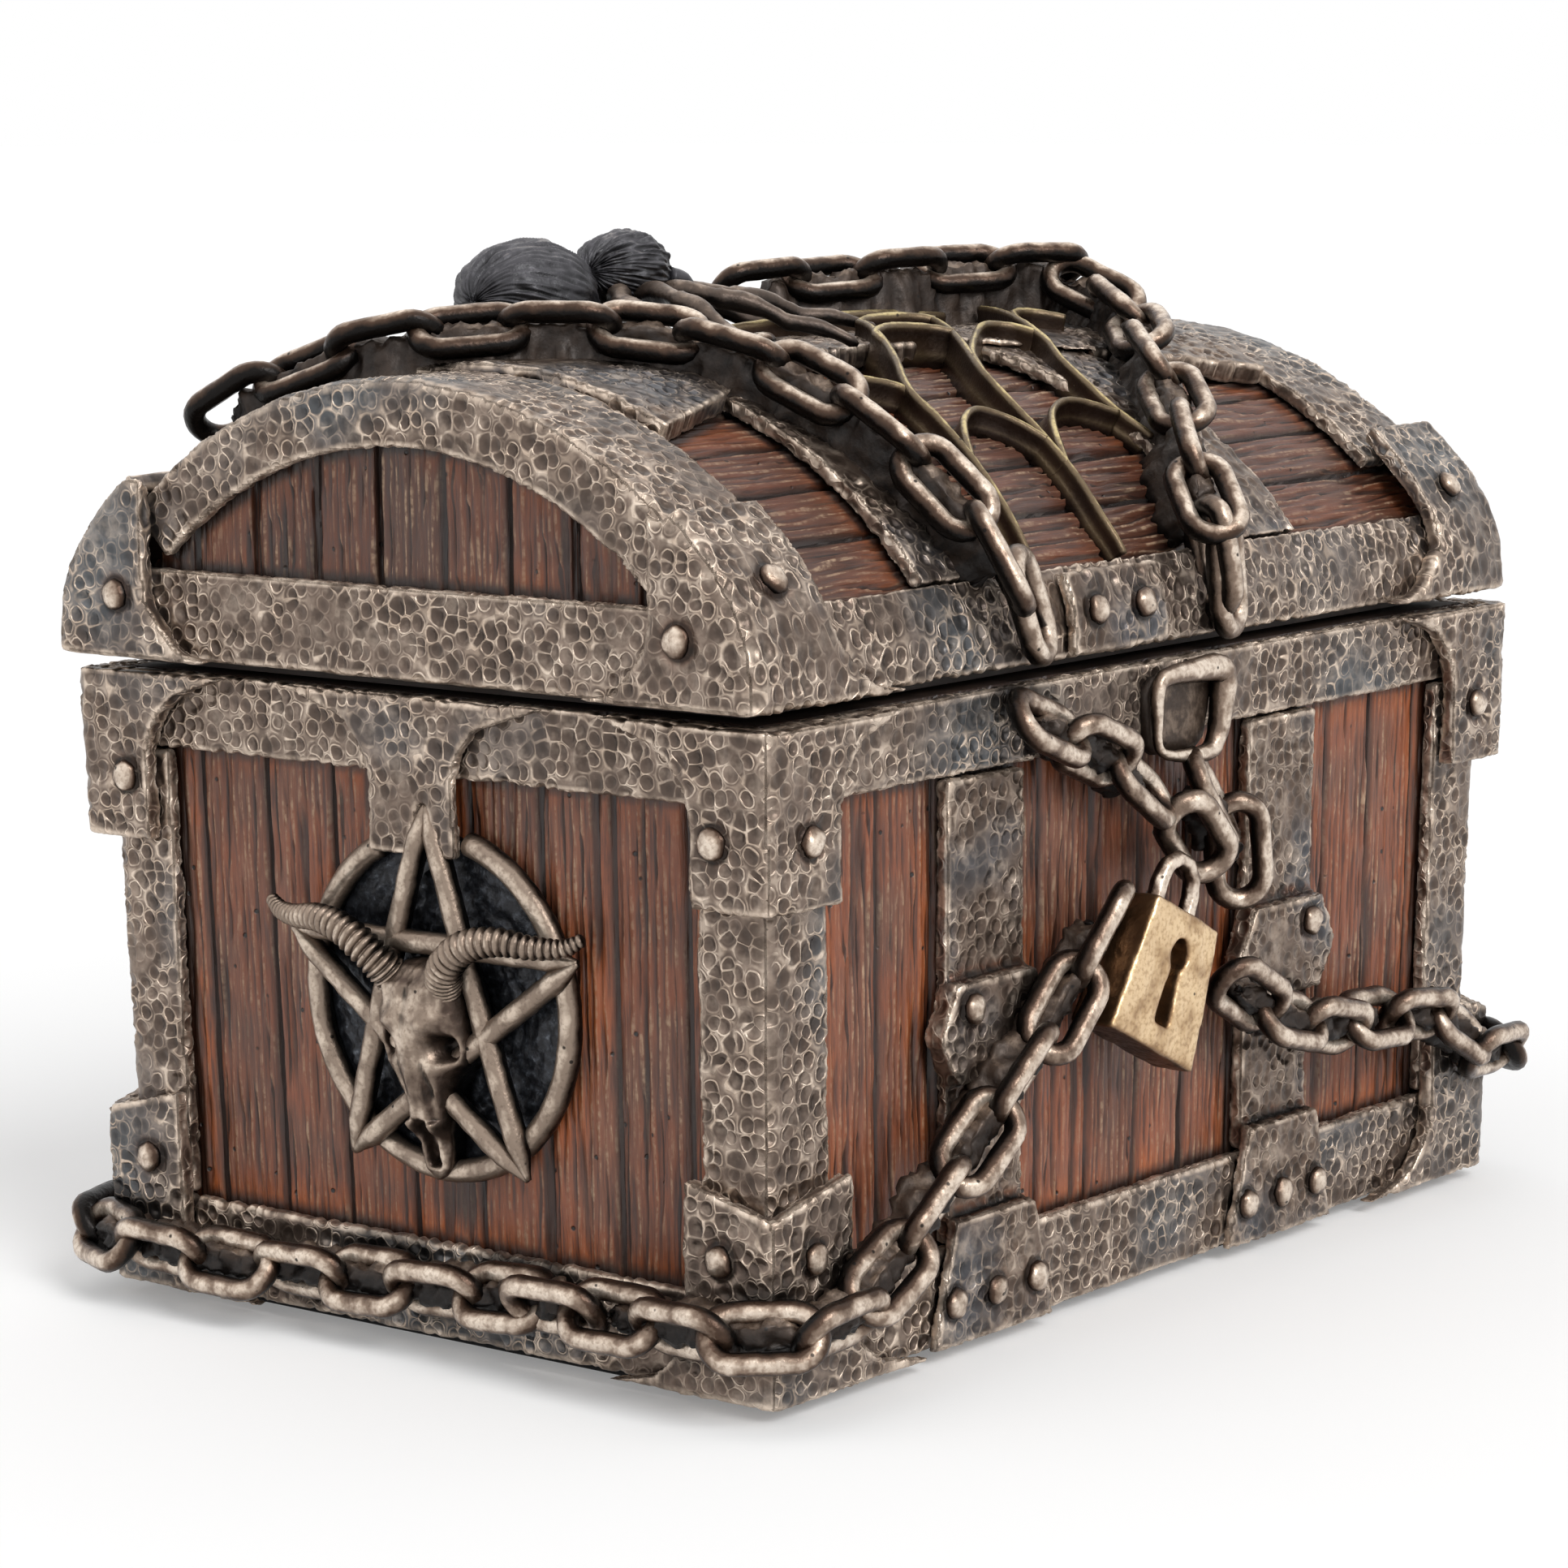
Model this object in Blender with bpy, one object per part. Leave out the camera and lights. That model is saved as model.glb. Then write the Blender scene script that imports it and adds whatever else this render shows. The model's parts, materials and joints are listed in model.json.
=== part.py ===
# Small decorative chest with a loose barrel lid, metres, Z up, front faces -Y
import math
import bpy
import bmesh
from mathutils import Matrix, Vector

for old in list(bpy.data.objects):
    bpy.data.objects.remove(old, do_unlink=True)

# Overall sizes
case_length = 0.126          # over the top corner brackets
case_width = 0.085
case_height = 0.0616         # with the pad
case_taper_share = 0.03      # the foot is this much narrower than the rim
felt_height = 0.0010
rim_band_height = 0.0073
foot_band_height = 0.0091
lid_end_overhang = 0.0008    # of the lid over the case at each end
lid_side_overhang = 0.0004
lid_reveal = 0.0014          # dark line between the bands of case and lid
crown_height = 0.0257        # planks of the lid over its lower edge
lid_set_back = 0.0012        # the loose lid sits a little towards the back

# Layers that lie one over another, measured outwards from the planks
seat_gap = 0.0003
weld = seat_gap / 100
band_relief = 0.0015
bracket_relief = 0.0018
plate_relief = 0.0012
band_in = seat_gap
band_out = band_in + band_relief
over_in = band_out + seat_gap
bracket_out = over_in + bracket_relief
plate_out = over_in + plate_relief
half_x = case_length / 2 - bracket_out
half_y = case_width / 2 - bracket_out
case_foot = felt_height + seat_gap
foot_band_top = case_foot + foot_band_height
rim_band_bottom = case_height - rim_band_height
lid_length = case_length + 2 * lid_end_overhang
lid_bottom = case_height + lid_reveal
lid_half = half_y + lid_side_overhang
crown_top = lid_bottom + crown_height

# Case body
felt_inset = 0.0008
case_wall = 0.0042
case_floor = 0.0055
cavity_reach = 0.010         # cutters run this far past the rim
groove_half = 0.00035
groove_depth = 0.0007
front_boards = 14
end_boards = 9
post_front_width = 0.0090
post_end_width = 0.0078
corner_round = 0.0012

# Corner brackets of the case
top_bracket_height = 0.0162
top_bracket_front = 0.0106
top_bracket_end = 0.0090
top_flare_start_share = 0.42
top_flare_front = 0.0095
top_flare_end = 0.0105
foot_bracket_height = 0.0185
foot_bracket_front = 0.0120
foot_bracket_end = 0.0105
foot_flare_start_share = 0.62
foot_flare_front = 0.0120
foot_flare_end = 0.0095
foot_bracket_dip = 0.0025
bracket_steps = 6

# Upright straps, their plates and feet
strap_width = 0.0122
strap_left_x = -0.0280
strap_right_x = 0.0225
plate_height = 0.0095
plate_half = 0.0062
plate_point = 0.0026
plate_drop = 0.0238          # below the rim band
foot_plate_height = 0.0118
foot_plate_top_half = 0.0063
foot_plate_half = 0.0098

# Rivets
rivet_radius = 0.0011
rivet_height = 0.0008
rivet_sink = 0.0005
rivet_sides = 7
rivet_shoulder_share = 0.86
rivet_crown_share = 0.42
rivet_step_share = 0.5
bracket_rivet_inset = 0.0062
top_rivet_drop = 0.0101      # below the rim
foot_rivet_rise = 0.0129
foot_rivet_pitch = 0.0066
strap_foot_rivet_rise = 0.0042
plate_rivet_x = 0.0040
plate_rivet_z = 0.0022

# Medallion on each end
medallion_y = -0.0015
medallion_below = 0.0059     # from the foot band up to the ring
medallion_above = 0.0042     # from the ring up to the rim band
medallion_radius = (rim_band_bottom - foot_band_top - medallion_below - medallion_above) / 2
medallion_z = foot_band_top + medallion_below + medallion_radius
disc_inset = 0.0029
disc_radius = medallion_radius - disc_inset
disc_relief = 0.0005
disc_sides = 28
ring_half = 0.0012
ring_radius = medallion_radius - ring_half
ring_relief = 0.0010
star_points = 5
star_reach = 0.0019          # of the star's tips past the ring
star_radius = medallion_radius + star_reach
star_bar = 0.0023
star_relief = 0.0012
skull_top = 0.0062
skull_bottom = -0.0142
skull_half = 0.0042
skull_depth = 0.0029
skull_sides = 8
# from brow to muzzle: place along the head, half-width, depth
skull_profile_shares = ((0.0, 0.35, 0.45), (0.08, 0.80, 0.85), (0.25, 1.0, 1.0), (0.42, 0.78, 0.92),
                        (0.65, 0.52, 0.68), (0.88, 0.42, 0.52), (1.0, 0.22, 0.25))
horn_radius = 0.0015
horn_root_x = 0.0026
horn_root_z = 0.0048
horn_span = 0.0140
horn_rise = 0.0050
horn_lift = 0.0006
horn_sweep_share = 0.75
horn_thin_share = 0.72
horn_steps = 8
horn_sides = 6

# Tab on each end
tab_overlap = 0.0031         # of the tab over the ring
tab_bottom = medallion_z + medallion_radius - tab_overlap
tab_half = 0.0053
tab_flare_half = 0.0160
tab_flare_steps = 4

# Chains: a link is two half circles joined by straight sides
wire = 0.0022
link_bend = 0.0025
link_straight = 0.0025       # half of the straight side
link_clearance = 0.0010
link_lean = math.radians(38)
link_arc_points = 4
link_sides = 5
link_merge = 0.0006         # links of one casting run into each other by this much
chain_rise = link_bend * math.sin(link_lean) + wire / 2 + seat_gap
chain_corner = 0.0020        # the chain path rounds the corners of the case
path_step = 0.00005
corner_lift = 0.0016         # how far a link stands out more where the chain turns a corner

# Chain paths as (run, height, layer). Runs grow to the right and start at a corner of the case; the
# runs and heights of the paths at the lock and of the hanging chains start at the lock and the staple
wrap_from_lock = ((-0.0089, 0.0055, "plate"), (-0.0166, -0.0020, "plate"))
wrap_front_left = ((0.0241, 0.0215, "plate"),
                   (0.0150, 0.0152, "plate"), (0.0110, 0.0128, "bracket"), (0.0040, 0.0093, "bracket"),
                   (0.0010, 0.0086, "corner"), (-0.0010, 0.0084, "corner"), (-0.0080, 0.0082, "bracket"),
                   (-0.0200, 0.0080, "bracket"), (-0.0230, 0.0075, "band"), (-0.0380, 0.0066, "band"),
                   (-0.0540, 0.0060, "band"), (-0.0570, 0.0060, "bracket"))
wrap_back_left = ((0.0020, 0.0064, "corner"), (-0.0020, 0.0064, "corner"), (-0.0060, 0.0062, "bracket"))
wrap_back_right = ((0.0060, 0.0062, "bracket"), (0.0020, 0.0064, "corner"), (-0.0020, 0.0064, "corner"),
                   (-0.0080, 0.0064, "bracket"))
wrap_front_right = ((0.0240, 0.0064, "bracket"), (0.0080, 0.0100, "bracket"), (0.0015, 0.0138, "corner"),
                    (-0.0015, 0.0148, "corner"), (-0.0080, 0.0184, "bracket"), (-0.0130, 0.0205, "bracket"),
                    (-0.0200, 0.0214, "plate"), (-0.0320, 0.0222, "plate"))
wrap_to_lock = ((0.0232, -0.0074, "plate"), (0.0160, -0.0035, "plate"))
wrap_stretches = (wrap_front_left, wrap_back_left, wrap_back_right, wrap_front_right)
wrap_break_runs = (-0.0130, -0.0120, -0.0150, -0.0235)
wrap_names = ("chain_low_left", "chain_left_end", "chain_back", "chain_right_end", "chain_low_right")
hang_left_path = ((-0.0235, 0.0009, "band"), (-0.0138, -0.0028, "band"), (-0.0080, -0.0065, "band"),
                  (-0.0035, -0.0113, "band"))
hang_right_path = ((0.0040, -0.0090, "band"), (0.0090, -0.0148, "band"), (0.0100, -0.0218, "band"))

# On the lid a path is (run from the crown, x, layer)
lid_left_path = ((0.0255, -0.0540, "ridge"), (0.0200, -0.0528, "ridge"), (0.0120, -0.0500, "ridge"),
                 (0.0050, -0.0460, "ridge"), (0.0000, -0.0400, "ridge"), (-0.0070, -0.0345, "ridge"),
                 (-0.0180, -0.0300, "ridge"), (-0.0330, -0.0278, "ridge"), (-0.0452, -0.0262, "ridge"))
lid_right_path = ((0.0100, 0.0060, "crest"), (0.0062, 0.0180, "crest"), (0.0030, 0.0300, "crest"),
                  (-0.0005, 0.0375, "crest"), (-0.0060, 0.0395, "plate"), (-0.0130, 0.0350, "ridge"),
                  (-0.0210, 0.0260, "ridge"), (-0.0300, 0.0190, "ridge"), (-0.0380, 0.0120, "ridge"),
                  (-0.0448, 0.0070, "plate"))

# Padlock and staple
staple_x = 0.0013
staple_drop = 0.0048         # below the rim
staple_z = case_height - staple_drop
lock_x = -0.0065
lock_drop = 0.0248           # centre below the staple
lock_z = staple_z - lock_drop
lock_tilt = math.radians(-25.8)
lock_top_half = 0.0055
lock_bottom_half = 0.0076
lock_half_height = 0.0067
lock_lift = 0.0032
lock_thickness = 0.0052
lock_bevel = 0.0009
key_radius = 0.0016
key_slot_half = 0.0008
key_slot_length = 0.0062
key_top = 0.0028
key_depth = 0.0015
key_points = 11
shackle_half = 0.0029
shackle_leg = 0.0020
shackle_points = 6
shackle_wire = 0.0019
staple_half = 0.0040
staple_half_height = 0.0026
staple_wire = 0.0019
staple_outline_shares = ((-1, -0.6), (-0.7, -1), (0.7, -1), (1, -0.6), (1, 0.6), (0.7, 1), (-0.7, 1), (-1, 0.6))

# Lid section: a small arc at each shoulder, and the wide arc that touches both and the crown
shoulder_radius = 0.0122
shoulder_rise = 0.00154      # of the small arcs' centres over the lower edge
shoulder_y = lid_half - shoulder_radius
shoulder_z = lid_bottom + shoulder_rise
crown_fall = crown_top - shoulder_z
crown_radius = (shoulder_y ** 2 + crown_fall ** 2 - shoulder_radius ** 2) / (2 * (crown_fall - shoulder_radius))
crown_centre_z = crown_top - crown_radius
crown_angle = math.atan2(shoulder_y, shoulder_z - crown_centre_z)
lid_half_x = lid_length / 2 - bracket_out
end_board_thick = 0.0010
lid_core_half_x = lid_half_x - end_board_thick - seat_gap
lid_wall = 0.0055
lid_rim_height = 0.0085
lid_boards = 13
lid_end_boards = 9
lid_arc_points = 14
shoulder_points = 5
roof_points = 9
lunette_points = 11
lid_strap_points = 18
ridge_points = 9
hasp_points = 4
halvings = 40
rest_inset = 0.0015
lip_clearance = 0.0020
lip_thickness = 0.0022
lip_depth = 0.0045
arch_depth = 0.0045          # of the arched band, seen from the end
lunette_radius = crown_radius - arch_depth
lunette_bottom = lid_bottom + lid_rim_height
board_tuck = 0.0020          # end boards reach this far behind the bands
arch_width = 0.0118
arch_share = 0.894           # of the wide arc, between the corner brackets
arch_angle = crown_angle * arch_share
lid_bracket_width = 0.0125
lid_bracket_flare = 0.0110
bracket_top_share = 0.832    # of the wide arc, down from the crown
lid_bracket_top = crown_angle * bracket_top_share
lid_bracket_end_width = 0.0080
lid_bracket_end_flare = 0.0090
lid_flare_height = 0.0075
lid_bracket_least = 0.0018   # least width of the bracket on the end
ridge_half = 0.0075
ridge_end_half = 0.0215
ridge_waist_half = 0.0170
ridge_waist_x = 0.0360
ridge_neck_x = 0.0140
ridge_relief = 0.0005
ridge_out = over_in + ridge_relief
chain_layers = {"band": band_out, "ridge": ridge_out, "plate": plate_out, "bracket": bracket_out,
                "corner": bracket_out + corner_lift, "crest": plate_out + wire}
hasp_x = -0.0070
hasp_half = 0.0078
hasp_height = 0.0078
lid_rivet_rise = 0.0112      # over the lower edge of the lid
lid_rivet_inset = 0.0070
lid_end_rivet_inset = 0.0045
lid_end_rivet_rise = 0.0060
hasp_rivet_pitch = 0.0078
hasp_rivet_rise = 0.0045
ridge_rivet_x = 0.0085

# Spider and web
abdomen_x, abdomen_y = -0.0297, 0.0120
abdomen_rise = 0.0076        # over the crown
abdomen_half = 0.0069
abdomen_height_share = 0.82
head_x, head_y = -0.0176, 0.0100
head_rise = 0.0100
head_half = 0.0045
spider_rings = 7
spider_sides = 10
leg_wire = 0.0011
leg_sides = 5
leg_lift = 0.0032
leg_taper_shares = (1.0, 0.85, 0.70, 0.45)
hip_out_share = 0.7
hip_drop_share = 0.35
knee_share = 0.45
ankle_share = 0.8
ankle_lift_share = 0.35
spider_feet = ((-0.0285, -0.0060), (-0.0200, -0.0085), (-0.0100, -0.0050), (0.0010, 0.0020),
               (0.0030, 0.0110), (-0.0040, 0.0230), (-0.0160, 0.0270), (-0.0240, 0.0260))   # x, run
web_wire = 0.0007
web_steps = 5
web_hub_x, web_hub_t = 0.0000, 0.0300
web_angles = (-104, -91, -78, -65)
web_reach = (0.0680, 0.0660, 0.0600, 0.0500)
web_rings = (0.64, 0.75, 0.86, 0.97)   # cross threads, as shares of the spokes
web_start = 0.55
web_sag = 0.07

# Folds up to these angles are shaded smooth, degrees
plate_crease = 40
cast_crease = 60
ball_crease = 80
small_wire_sides = 6

# Materials: colour, roughness, metallic
wood = ("paintedWood", (0.165, 0.062, 0.038), 0.62, 0.0)
iron = ("hammeredIron", (0.105, 0.085, 0.072), 0.42, 0.85)
bronze = ("rubbedBronze", (0.30, 0.225, 0.160), 0.36, 0.9)
brass = ("agedBrass", (0.40, 0.265, 0.115), 0.34, 0.95)
charcoal = ("charcoalPaint", (0.030, 0.030, 0.036), 0.5, 0.1)
gilt = ("dullGilt", (0.26, 0.19, 0.060), 0.4, 0.8)
felt = ("darkFelt", (0.020, 0.020, 0.024), 0.95, 0.0)

chest = bpy.data.collections.new("decorative_chest")
bpy.context.scene.collection.children.link(chest)
cutters = bpy.data.collections.new("cutters")
bpy.context.scene.collection.children.link(cutters)


# Shared helpers
def paint(obj, finish):
    name, colour, rough, metal = finish
    stuff = bpy.data.materials.new(name + "_" + obj.name)
    stuff.use_nodes = True
    shader = stuff.node_tree.nodes["Principled BSDF"]
    shader.inputs["Base Color"].default_value = (*colour, 1.0)
    shader.inputs["Roughness"].default_value = rough
    shader.inputs["Metallic"].default_value = metal
    obj.data.materials.clear()
    obj.data.materials.append(stuff)


def taperAt(z):
    return 1 - case_taper_share * (case_height - z) / case_height


def settle(mesh, on_lid):
    # case pieces narrow towards the foot, lid pieces sit a little back
    for v in mesh.vertices:
        if on_lid:
            v.co.y += lid_set_back
        else:
            v.co.x *= taperAt(v.co.z)
            v.co.y *= taperAt(v.co.z)


def keep(name, bm, finish, on_lid=False, smooth=None, taper=True):
    bmesh.ops.recalc_face_normals(bm, faces=bm.faces)
    mesh = bpy.data.meshes.new(name)
    bm.to_mesh(mesh)
    bm.free()
    if on_lid or taper:
        settle(mesh, on_lid)
    obj = bpy.data.objects.new(name, mesh)
    chest.objects.link(obj)
    paint(obj, finish)
    if smooth:
        mesh.shade_smooth()
        mesh.set_sharp_from_angle(angle=math.radians(smooth))
    return obj


def scratch(name, bm):
    bmesh.ops.recalc_face_normals(bm, faces=bm.faces)
    mesh = bpy.data.meshes.new(name)
    bm.to_mesh(mesh)
    bm.free()
    obj = bpy.data.objects.new(name, mesh)
    cutters.objects.link(obj)
    obj.hide_render = True
    obj.display_type = "WIRE"
    return obj


def applied(obj, steps):
    # run a list of (operation, other object) Booleans and keep the result as the mesh
    for operation, other in steps:
        mod = obj.modifiers.new(operation.lower(), "BOOLEAN")
        mod.operation = operation
        mod.solver = "EXACT"
        mod.object = other
    graph = bpy.context.evaluated_depsgraph_get()
    mesh = bpy.data.meshes.new_from_object(obj.evaluated_get(graph))
    bm = bmesh.new()
    bm.from_mesh(mesh)
    return bm


def fused(name, bodies, finish, on_lid=False, smooth=None, cuts=(), taper=True):
    # one solid from overlapping bodies, less the cutters
    first = scratch(name + "_start", bodies[0])
    steps = [("UNION", scratch(name + "_add", bm)) for bm in bodies[1:]]
    steps += [("DIFFERENCE", scratch(name + "_cut", bm)) for bm in cuts]
    return keep(name, applied(first, steps), finish, on_lid, smooth, taper)


def box(bm, lo, hi):
    size = [b - a for a, b in zip(lo, hi)]
    mid = [(a + b) / 2 for a, b in zip(lo, hi)]
    shape = Matrix.Translation(mid) @ Matrix.Diagonal((*size, 1.0))
    bmesh.ops.create_cube(bm, size=1.0, matrix=shape)


def sheet(bm, outlines, thick, place):
    # flat plate: filled outlines, thickness along local Z from zero upwards
    curve = bpy.data.curves.new("outline", "CURVE")
    curve.dimensions = "2D"
    curve.fill_mode = "BOTH"
    curve.extrude = thick / 2
    for outline in outlines:
        spline = curve.splines.new("POLY")
        spline.points.add(len(outline) - 1)
        for point, (x, y) in zip(spline.points, outline):
            point.co = (x, y, 0, 1)
        spline.use_cyclic_u = True
    holder = bpy.data.objects.new("outline", curve)
    chest.objects.link(holder)
    graph = bpy.context.evaluated_depsgraph_get()
    mesh = bpy.data.meshes.new_from_object(holder.evaluated_get(graph))
    bpy.data.objects.remove(holder, do_unlink=True)
    mesh.transform(place @ Matrix.Translation((0, 0, thick / 2)))
    part = bmesh.new()
    part.from_mesh(mesh)
    bmesh.ops.remove_doubles(part, verts=part.verts, dist=weld)
    part.to_mesh(mesh)
    part.free()
    bm.from_mesh(mesh)


def loft(bm, rings, closed=False):
    # skin over equal rings of points; open lofts get a cap at each end
    rows = [[bm.verts.new(p) for p in ring] for ring in rings]
    count = len(rows[0])
    pairs = list(zip(rows, rows[1:])) + ([(rows[-1], rows[0])] if closed else [])
    for low, high in pairs:
        for i in range(count):
            j = (i + 1) % count
            bm.faces.new((low[i], low[j], high[j], high[i]))
    if not closed:
        bm.faces.new(rows[0][::-1])
        bm.faces.new(rows[-1])


def tube(bm, points, radii, sides, closed=False, up=Vector((0, 0, 1))):
    # round bar through the points
    count = len(points)
    rings = []
    for i, p in enumerate(points):
        before = points[(i - 1) % count] if closed or i > 0 else p
        after = points[(i + 1) % count] if closed or i < count - 1 else p
        along = (after - before).normalized()
        side = along.cross(up).normalized()
        lift = side.cross(along)
        turn = [math.tau * k / sides for k in range(sides)]
        rings.append([p + (side * math.cos(a) + lift * math.sin(a)) * radii[i] for a in turn])
    loft(bm, rings, closed)


def mirrored(bm, sign_x, sign_y):
    bmesh.ops.scale(bm, vec=(sign_x, sign_y, 1), verts=bm.verts)


corners = {"front_left": (1, 1), "front_right": (-1, 1), "back_left": (1, -1), "back_right": (-1, -1)}


def face(turn, half, level):
    # local X along the face, local Y up, local Z outwards; turn 0 is the front
    front = Matrix(((1, 0, 0, 0), (0, 0, -1, 0), (0, 1, 0, 0), (0, 0, 0, 1)))
    return Matrix.Rotation(turn, 4, "Z") @ front @ Matrix.Translation((0, 0, half + level))


front_turn, back_turn = 0.0, math.pi
left_turn, right_turn = -math.pi / 2, math.pi / 2
ends = {"left": left_turn, "right": right_turn}


# Places on the case and on the lid
corner_run = chain_corner * math.pi / 2
side_runs = (2 * (half_x - chain_corner) + corner_run, 2 * (half_y - chain_corner) + corner_run)


def casePoint(u, z, off):
    # u runs round the case from the front left corner, positive along the front
    u = (u - corner_run / 2) % (2 * sum(side_runs))
    for side in range(4):
        spin = Matrix.Rotation(side * math.pi / 2, 3, "Z")
        depth = half_y if side % 2 == 0 else half_x
        straight = side_runs[side % 2] - corner_run
        if u < straight:
            out = spin @ Vector((0, -1, 0))
            spot = spin @ Vector((u - straight / 2, -depth - off, 0))
            break
        u -= straight
        if u < corner_run:
            angle = u / chain_corner
            out = spin @ Vector((math.sin(angle), -math.cos(angle), 0))
            spot = spin @ Vector((straight / 2, chain_corner - depth, 0)) + out * (chain_corner + off)
            break
        u -= corner_run
    return Vector((spot.x * taperAt(z), spot.y * taperAt(z), z)), out


crown_run = crown_radius * crown_angle
shoulder_run = crown_run + shoulder_radius * (math.pi / 2 - crown_angle)
rim_run = shoulder_run + shoulder_z - lid_bottom


def lidSection(t, off):
    # t is the run along the planks from the crown, negative towards the front
    side = 1 if t >= 0 else -1
    t = abs(t)
    if t <= crown_run:
        a = t / crown_radius
        y, z = math.sin(a) * (crown_radius + off), crown_centre_z + math.cos(a) * (crown_radius + off)
    elif t <= shoulder_run:
        a = crown_angle + (t - crown_run) / shoulder_radius
        y = shoulder_y + math.sin(a) * (shoulder_radius + off)
        z = shoulder_z + math.cos(a) * (shoulder_radius + off)
    else:
        a = math.pi / 2
        y, z = lid_half + off, shoulder_z - (t - shoulder_run)
    return side * y, z, side * a


def lidPoint(x, t, off):
    y, z, a = lidSection(t, off)
    return Vector((x, y, z)), Vector((0, math.sin(a), math.cos(a)))


def runAtHeight(z, off=band_out):
    # run from the crown at which the lid section passes a height
    low, high = 0.0, rim_run
    for _ in range(halvings):
        mid = (low + high) / 2
        if lidSection(mid, off)[1] > z:
            low = mid
        else:
            high = mid
    return low


def spread(start, end, count):
    return [start + (end - start) * i / (count - 1) for i in range(count)]


def lidPatch(bm, runs, edges, low, high):
    # plate that follows the barrel; edges gives its two x limits at each run
    rings = []
    for t in runs:
        x0, x1 = edges(t)
        rings.append([lidPoint(x, t, off)[0] for x, off in ((x0, low), (x0, high), (x1, high), (x1, low))])
    loft(bm, rings)


# Case body and pad
def groovedSide(half, boards, depth):
    # one side of the plan outline with a small notch between boards
    points = []
    for k in range(1, boards):
        x = -half + 2 * half * k / boards
        points += [(x - groove_half, -depth), (x, -depth + groove_depth), (x + groove_half, -depth)]
    return [(-half, -depth)] + points


def casePlan():
    outline = []
    for side in range(4):
        half, depth = (half_x, half_y) if side % 2 == 0 else (half_y, half_x)
        spin = Matrix.Rotation(side * math.pi / 2, 2)
        boards = front_boards if side % 2 == 0 else end_boards
        outline += [tuple(spin @ Vector(p)) for p in groovedSide(half, boards, depth)]
    return outline


def caseShell():
    block, hollow = bmesh.new(), bmesh.new()
    sheet(block, [casePlan()], case_height - case_foot, Matrix.Translation((0, 0, case_foot)))
    inner_x, inner_y = half_x - case_wall, half_y - case_wall
    box(hollow, (-inner_x, -inner_y, case_foot + case_floor), (inner_x, inner_y, case_height + cavity_reach))
    fused("case_shell", [block], wood, cuts=[hollow])


def baseFelt():
    bm = bmesh.new()
    edge_x, edge_y = case_length / 2 - felt_inset, case_width / 2 - felt_inset
    box(bm, (-edge_x, -edge_y, 0), (edge_x, edge_y, felt_height))
    keep("base_felt", bm, felt)


def rectangle(edge_x, edge_y):
    return [(-edge_x, -edge_y), (edge_x, -edge_y), (edge_x, edge_y), (-edge_x, edge_y)]


def hoop(name, low, high):
    # band that runs all round the case
    bm = bmesh.new()
    outlines = [rectangle(half_x + band_out, half_y + band_out), rectangle(half_x + band_in, half_y + band_in)]
    sheet(bm, outlines, high - low, Matrix.Translation((0, 0, low)))
    keep(name, bm, iron)


# Corner pieces, made for the front left corner and mirrored
def cornerRing(z, width_x, width_y, low, high, lift_x=0, lift_y=0):
    # plan section of an angle piece round the front left corner
    cx, cy = -half_x, -half_y
    r = corner_round
    soft = r * (1 - math.cos(math.pi / 4))
    return [Vector(p) for p in (
        (cx - high + width_x, cy - low, z + lift_x), (cx - high + width_x, cy - high, z + lift_x),
        (cx - high + r, cy - high, z), (cx - high + soft, cy - high + soft, z),
        (cx - high, cy - high + r, z), (cx - high, cy - high + width_y, z + lift_y),
        (cx - low, cy - high + width_y, z + lift_y), (cx - low, cy - low, z))]


def angleCorner(name, rings, rivet_z=None):
    for corner, (sx, sy) in corners.items():
        bm = bmesh.new()
        loft(bm, rings)
        mirrored(bm, sx, sy)
        bodies = [bm]
        if rivet_z:
            bodies.append(bmesh.new())
            spot = Matrix.Translation((bracket_rivet_inset - case_length / 2, rivet_z, 0))
            rivet(bodies[1], face(front_turn, half_y, bracket_out) @ spot)
            spot = Matrix.Translation((case_width / 2 - bracket_rivet_inset, rivet_z, 0))
            rivet(bodies[1], face(left_turn, half_x, bracket_out) @ spot)
            mirrored(bodies[1], sx, sy)
        fused(name + "_" + corner, bodies, iron, smooth=plate_crease)


def cornerPosts():
    low, high = foot_band_top + seat_gap, rim_band_bottom - seat_gap
    rings = [cornerRing(z, post_front_width, post_end_width, band_in, band_out) for z in (low, high)]
    angleCorner("corner_post", rings)


def flareShare(share, start):
    # quarter ellipse that opens from the start share to one
    q = max(0.0, (share - start) / (1 - start))
    return 1 - math.sqrt(max(0.0, 1 - q * q))


def topBrackets():
    shares = [0.0, top_flare_start_share] + spread(top_flare_start_share, 1.0, bracket_steps)[1:]
    rings = []
    for share in shares:
        flare = flareShare(share, top_flare_start_share)
        z = case_height - top_bracket_height * (1 - share)
        rings.append(cornerRing(z, top_bracket_front + top_flare_front * flare,
                                top_bracket_end + top_flare_end * flare, over_in, bracket_out))
    angleCorner("top_bracket", rings, case_height - top_rivet_drop)


def footBrackets():
    shares = [0.0, foot_flare_start_share] + spread(foot_flare_start_share, 1.0, bracket_steps)[1:]
    rings = []
    for share in shares:
        flare = flareShare(share, foot_flare_start_share)
        z = case_foot + foot_bracket_height * (1 - share)
        lift = foot_bracket_dip if share == 0.0 else 0
        rings.append(cornerRing(z - lift / 2, foot_bracket_front + foot_flare_front * flare,
                                foot_bracket_end + foot_flare_end * flare, over_in, bracket_out, lift, lift))
    angleCorner("foot_bracket", rings, case_foot + foot_rivet_rise)


# Straps with their plates and feet
def upright(x, half, low, high):
    return [(x - half, low), (x + half, low), (x + half, high), (x - half, high)]


strap_places = {"front_left": (front_turn, strap_left_x), "front_right": (front_turn, strap_right_x),
                "back_left": (back_turn, -strap_left_x), "back_right": (back_turn, -strap_right_x)}


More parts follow.
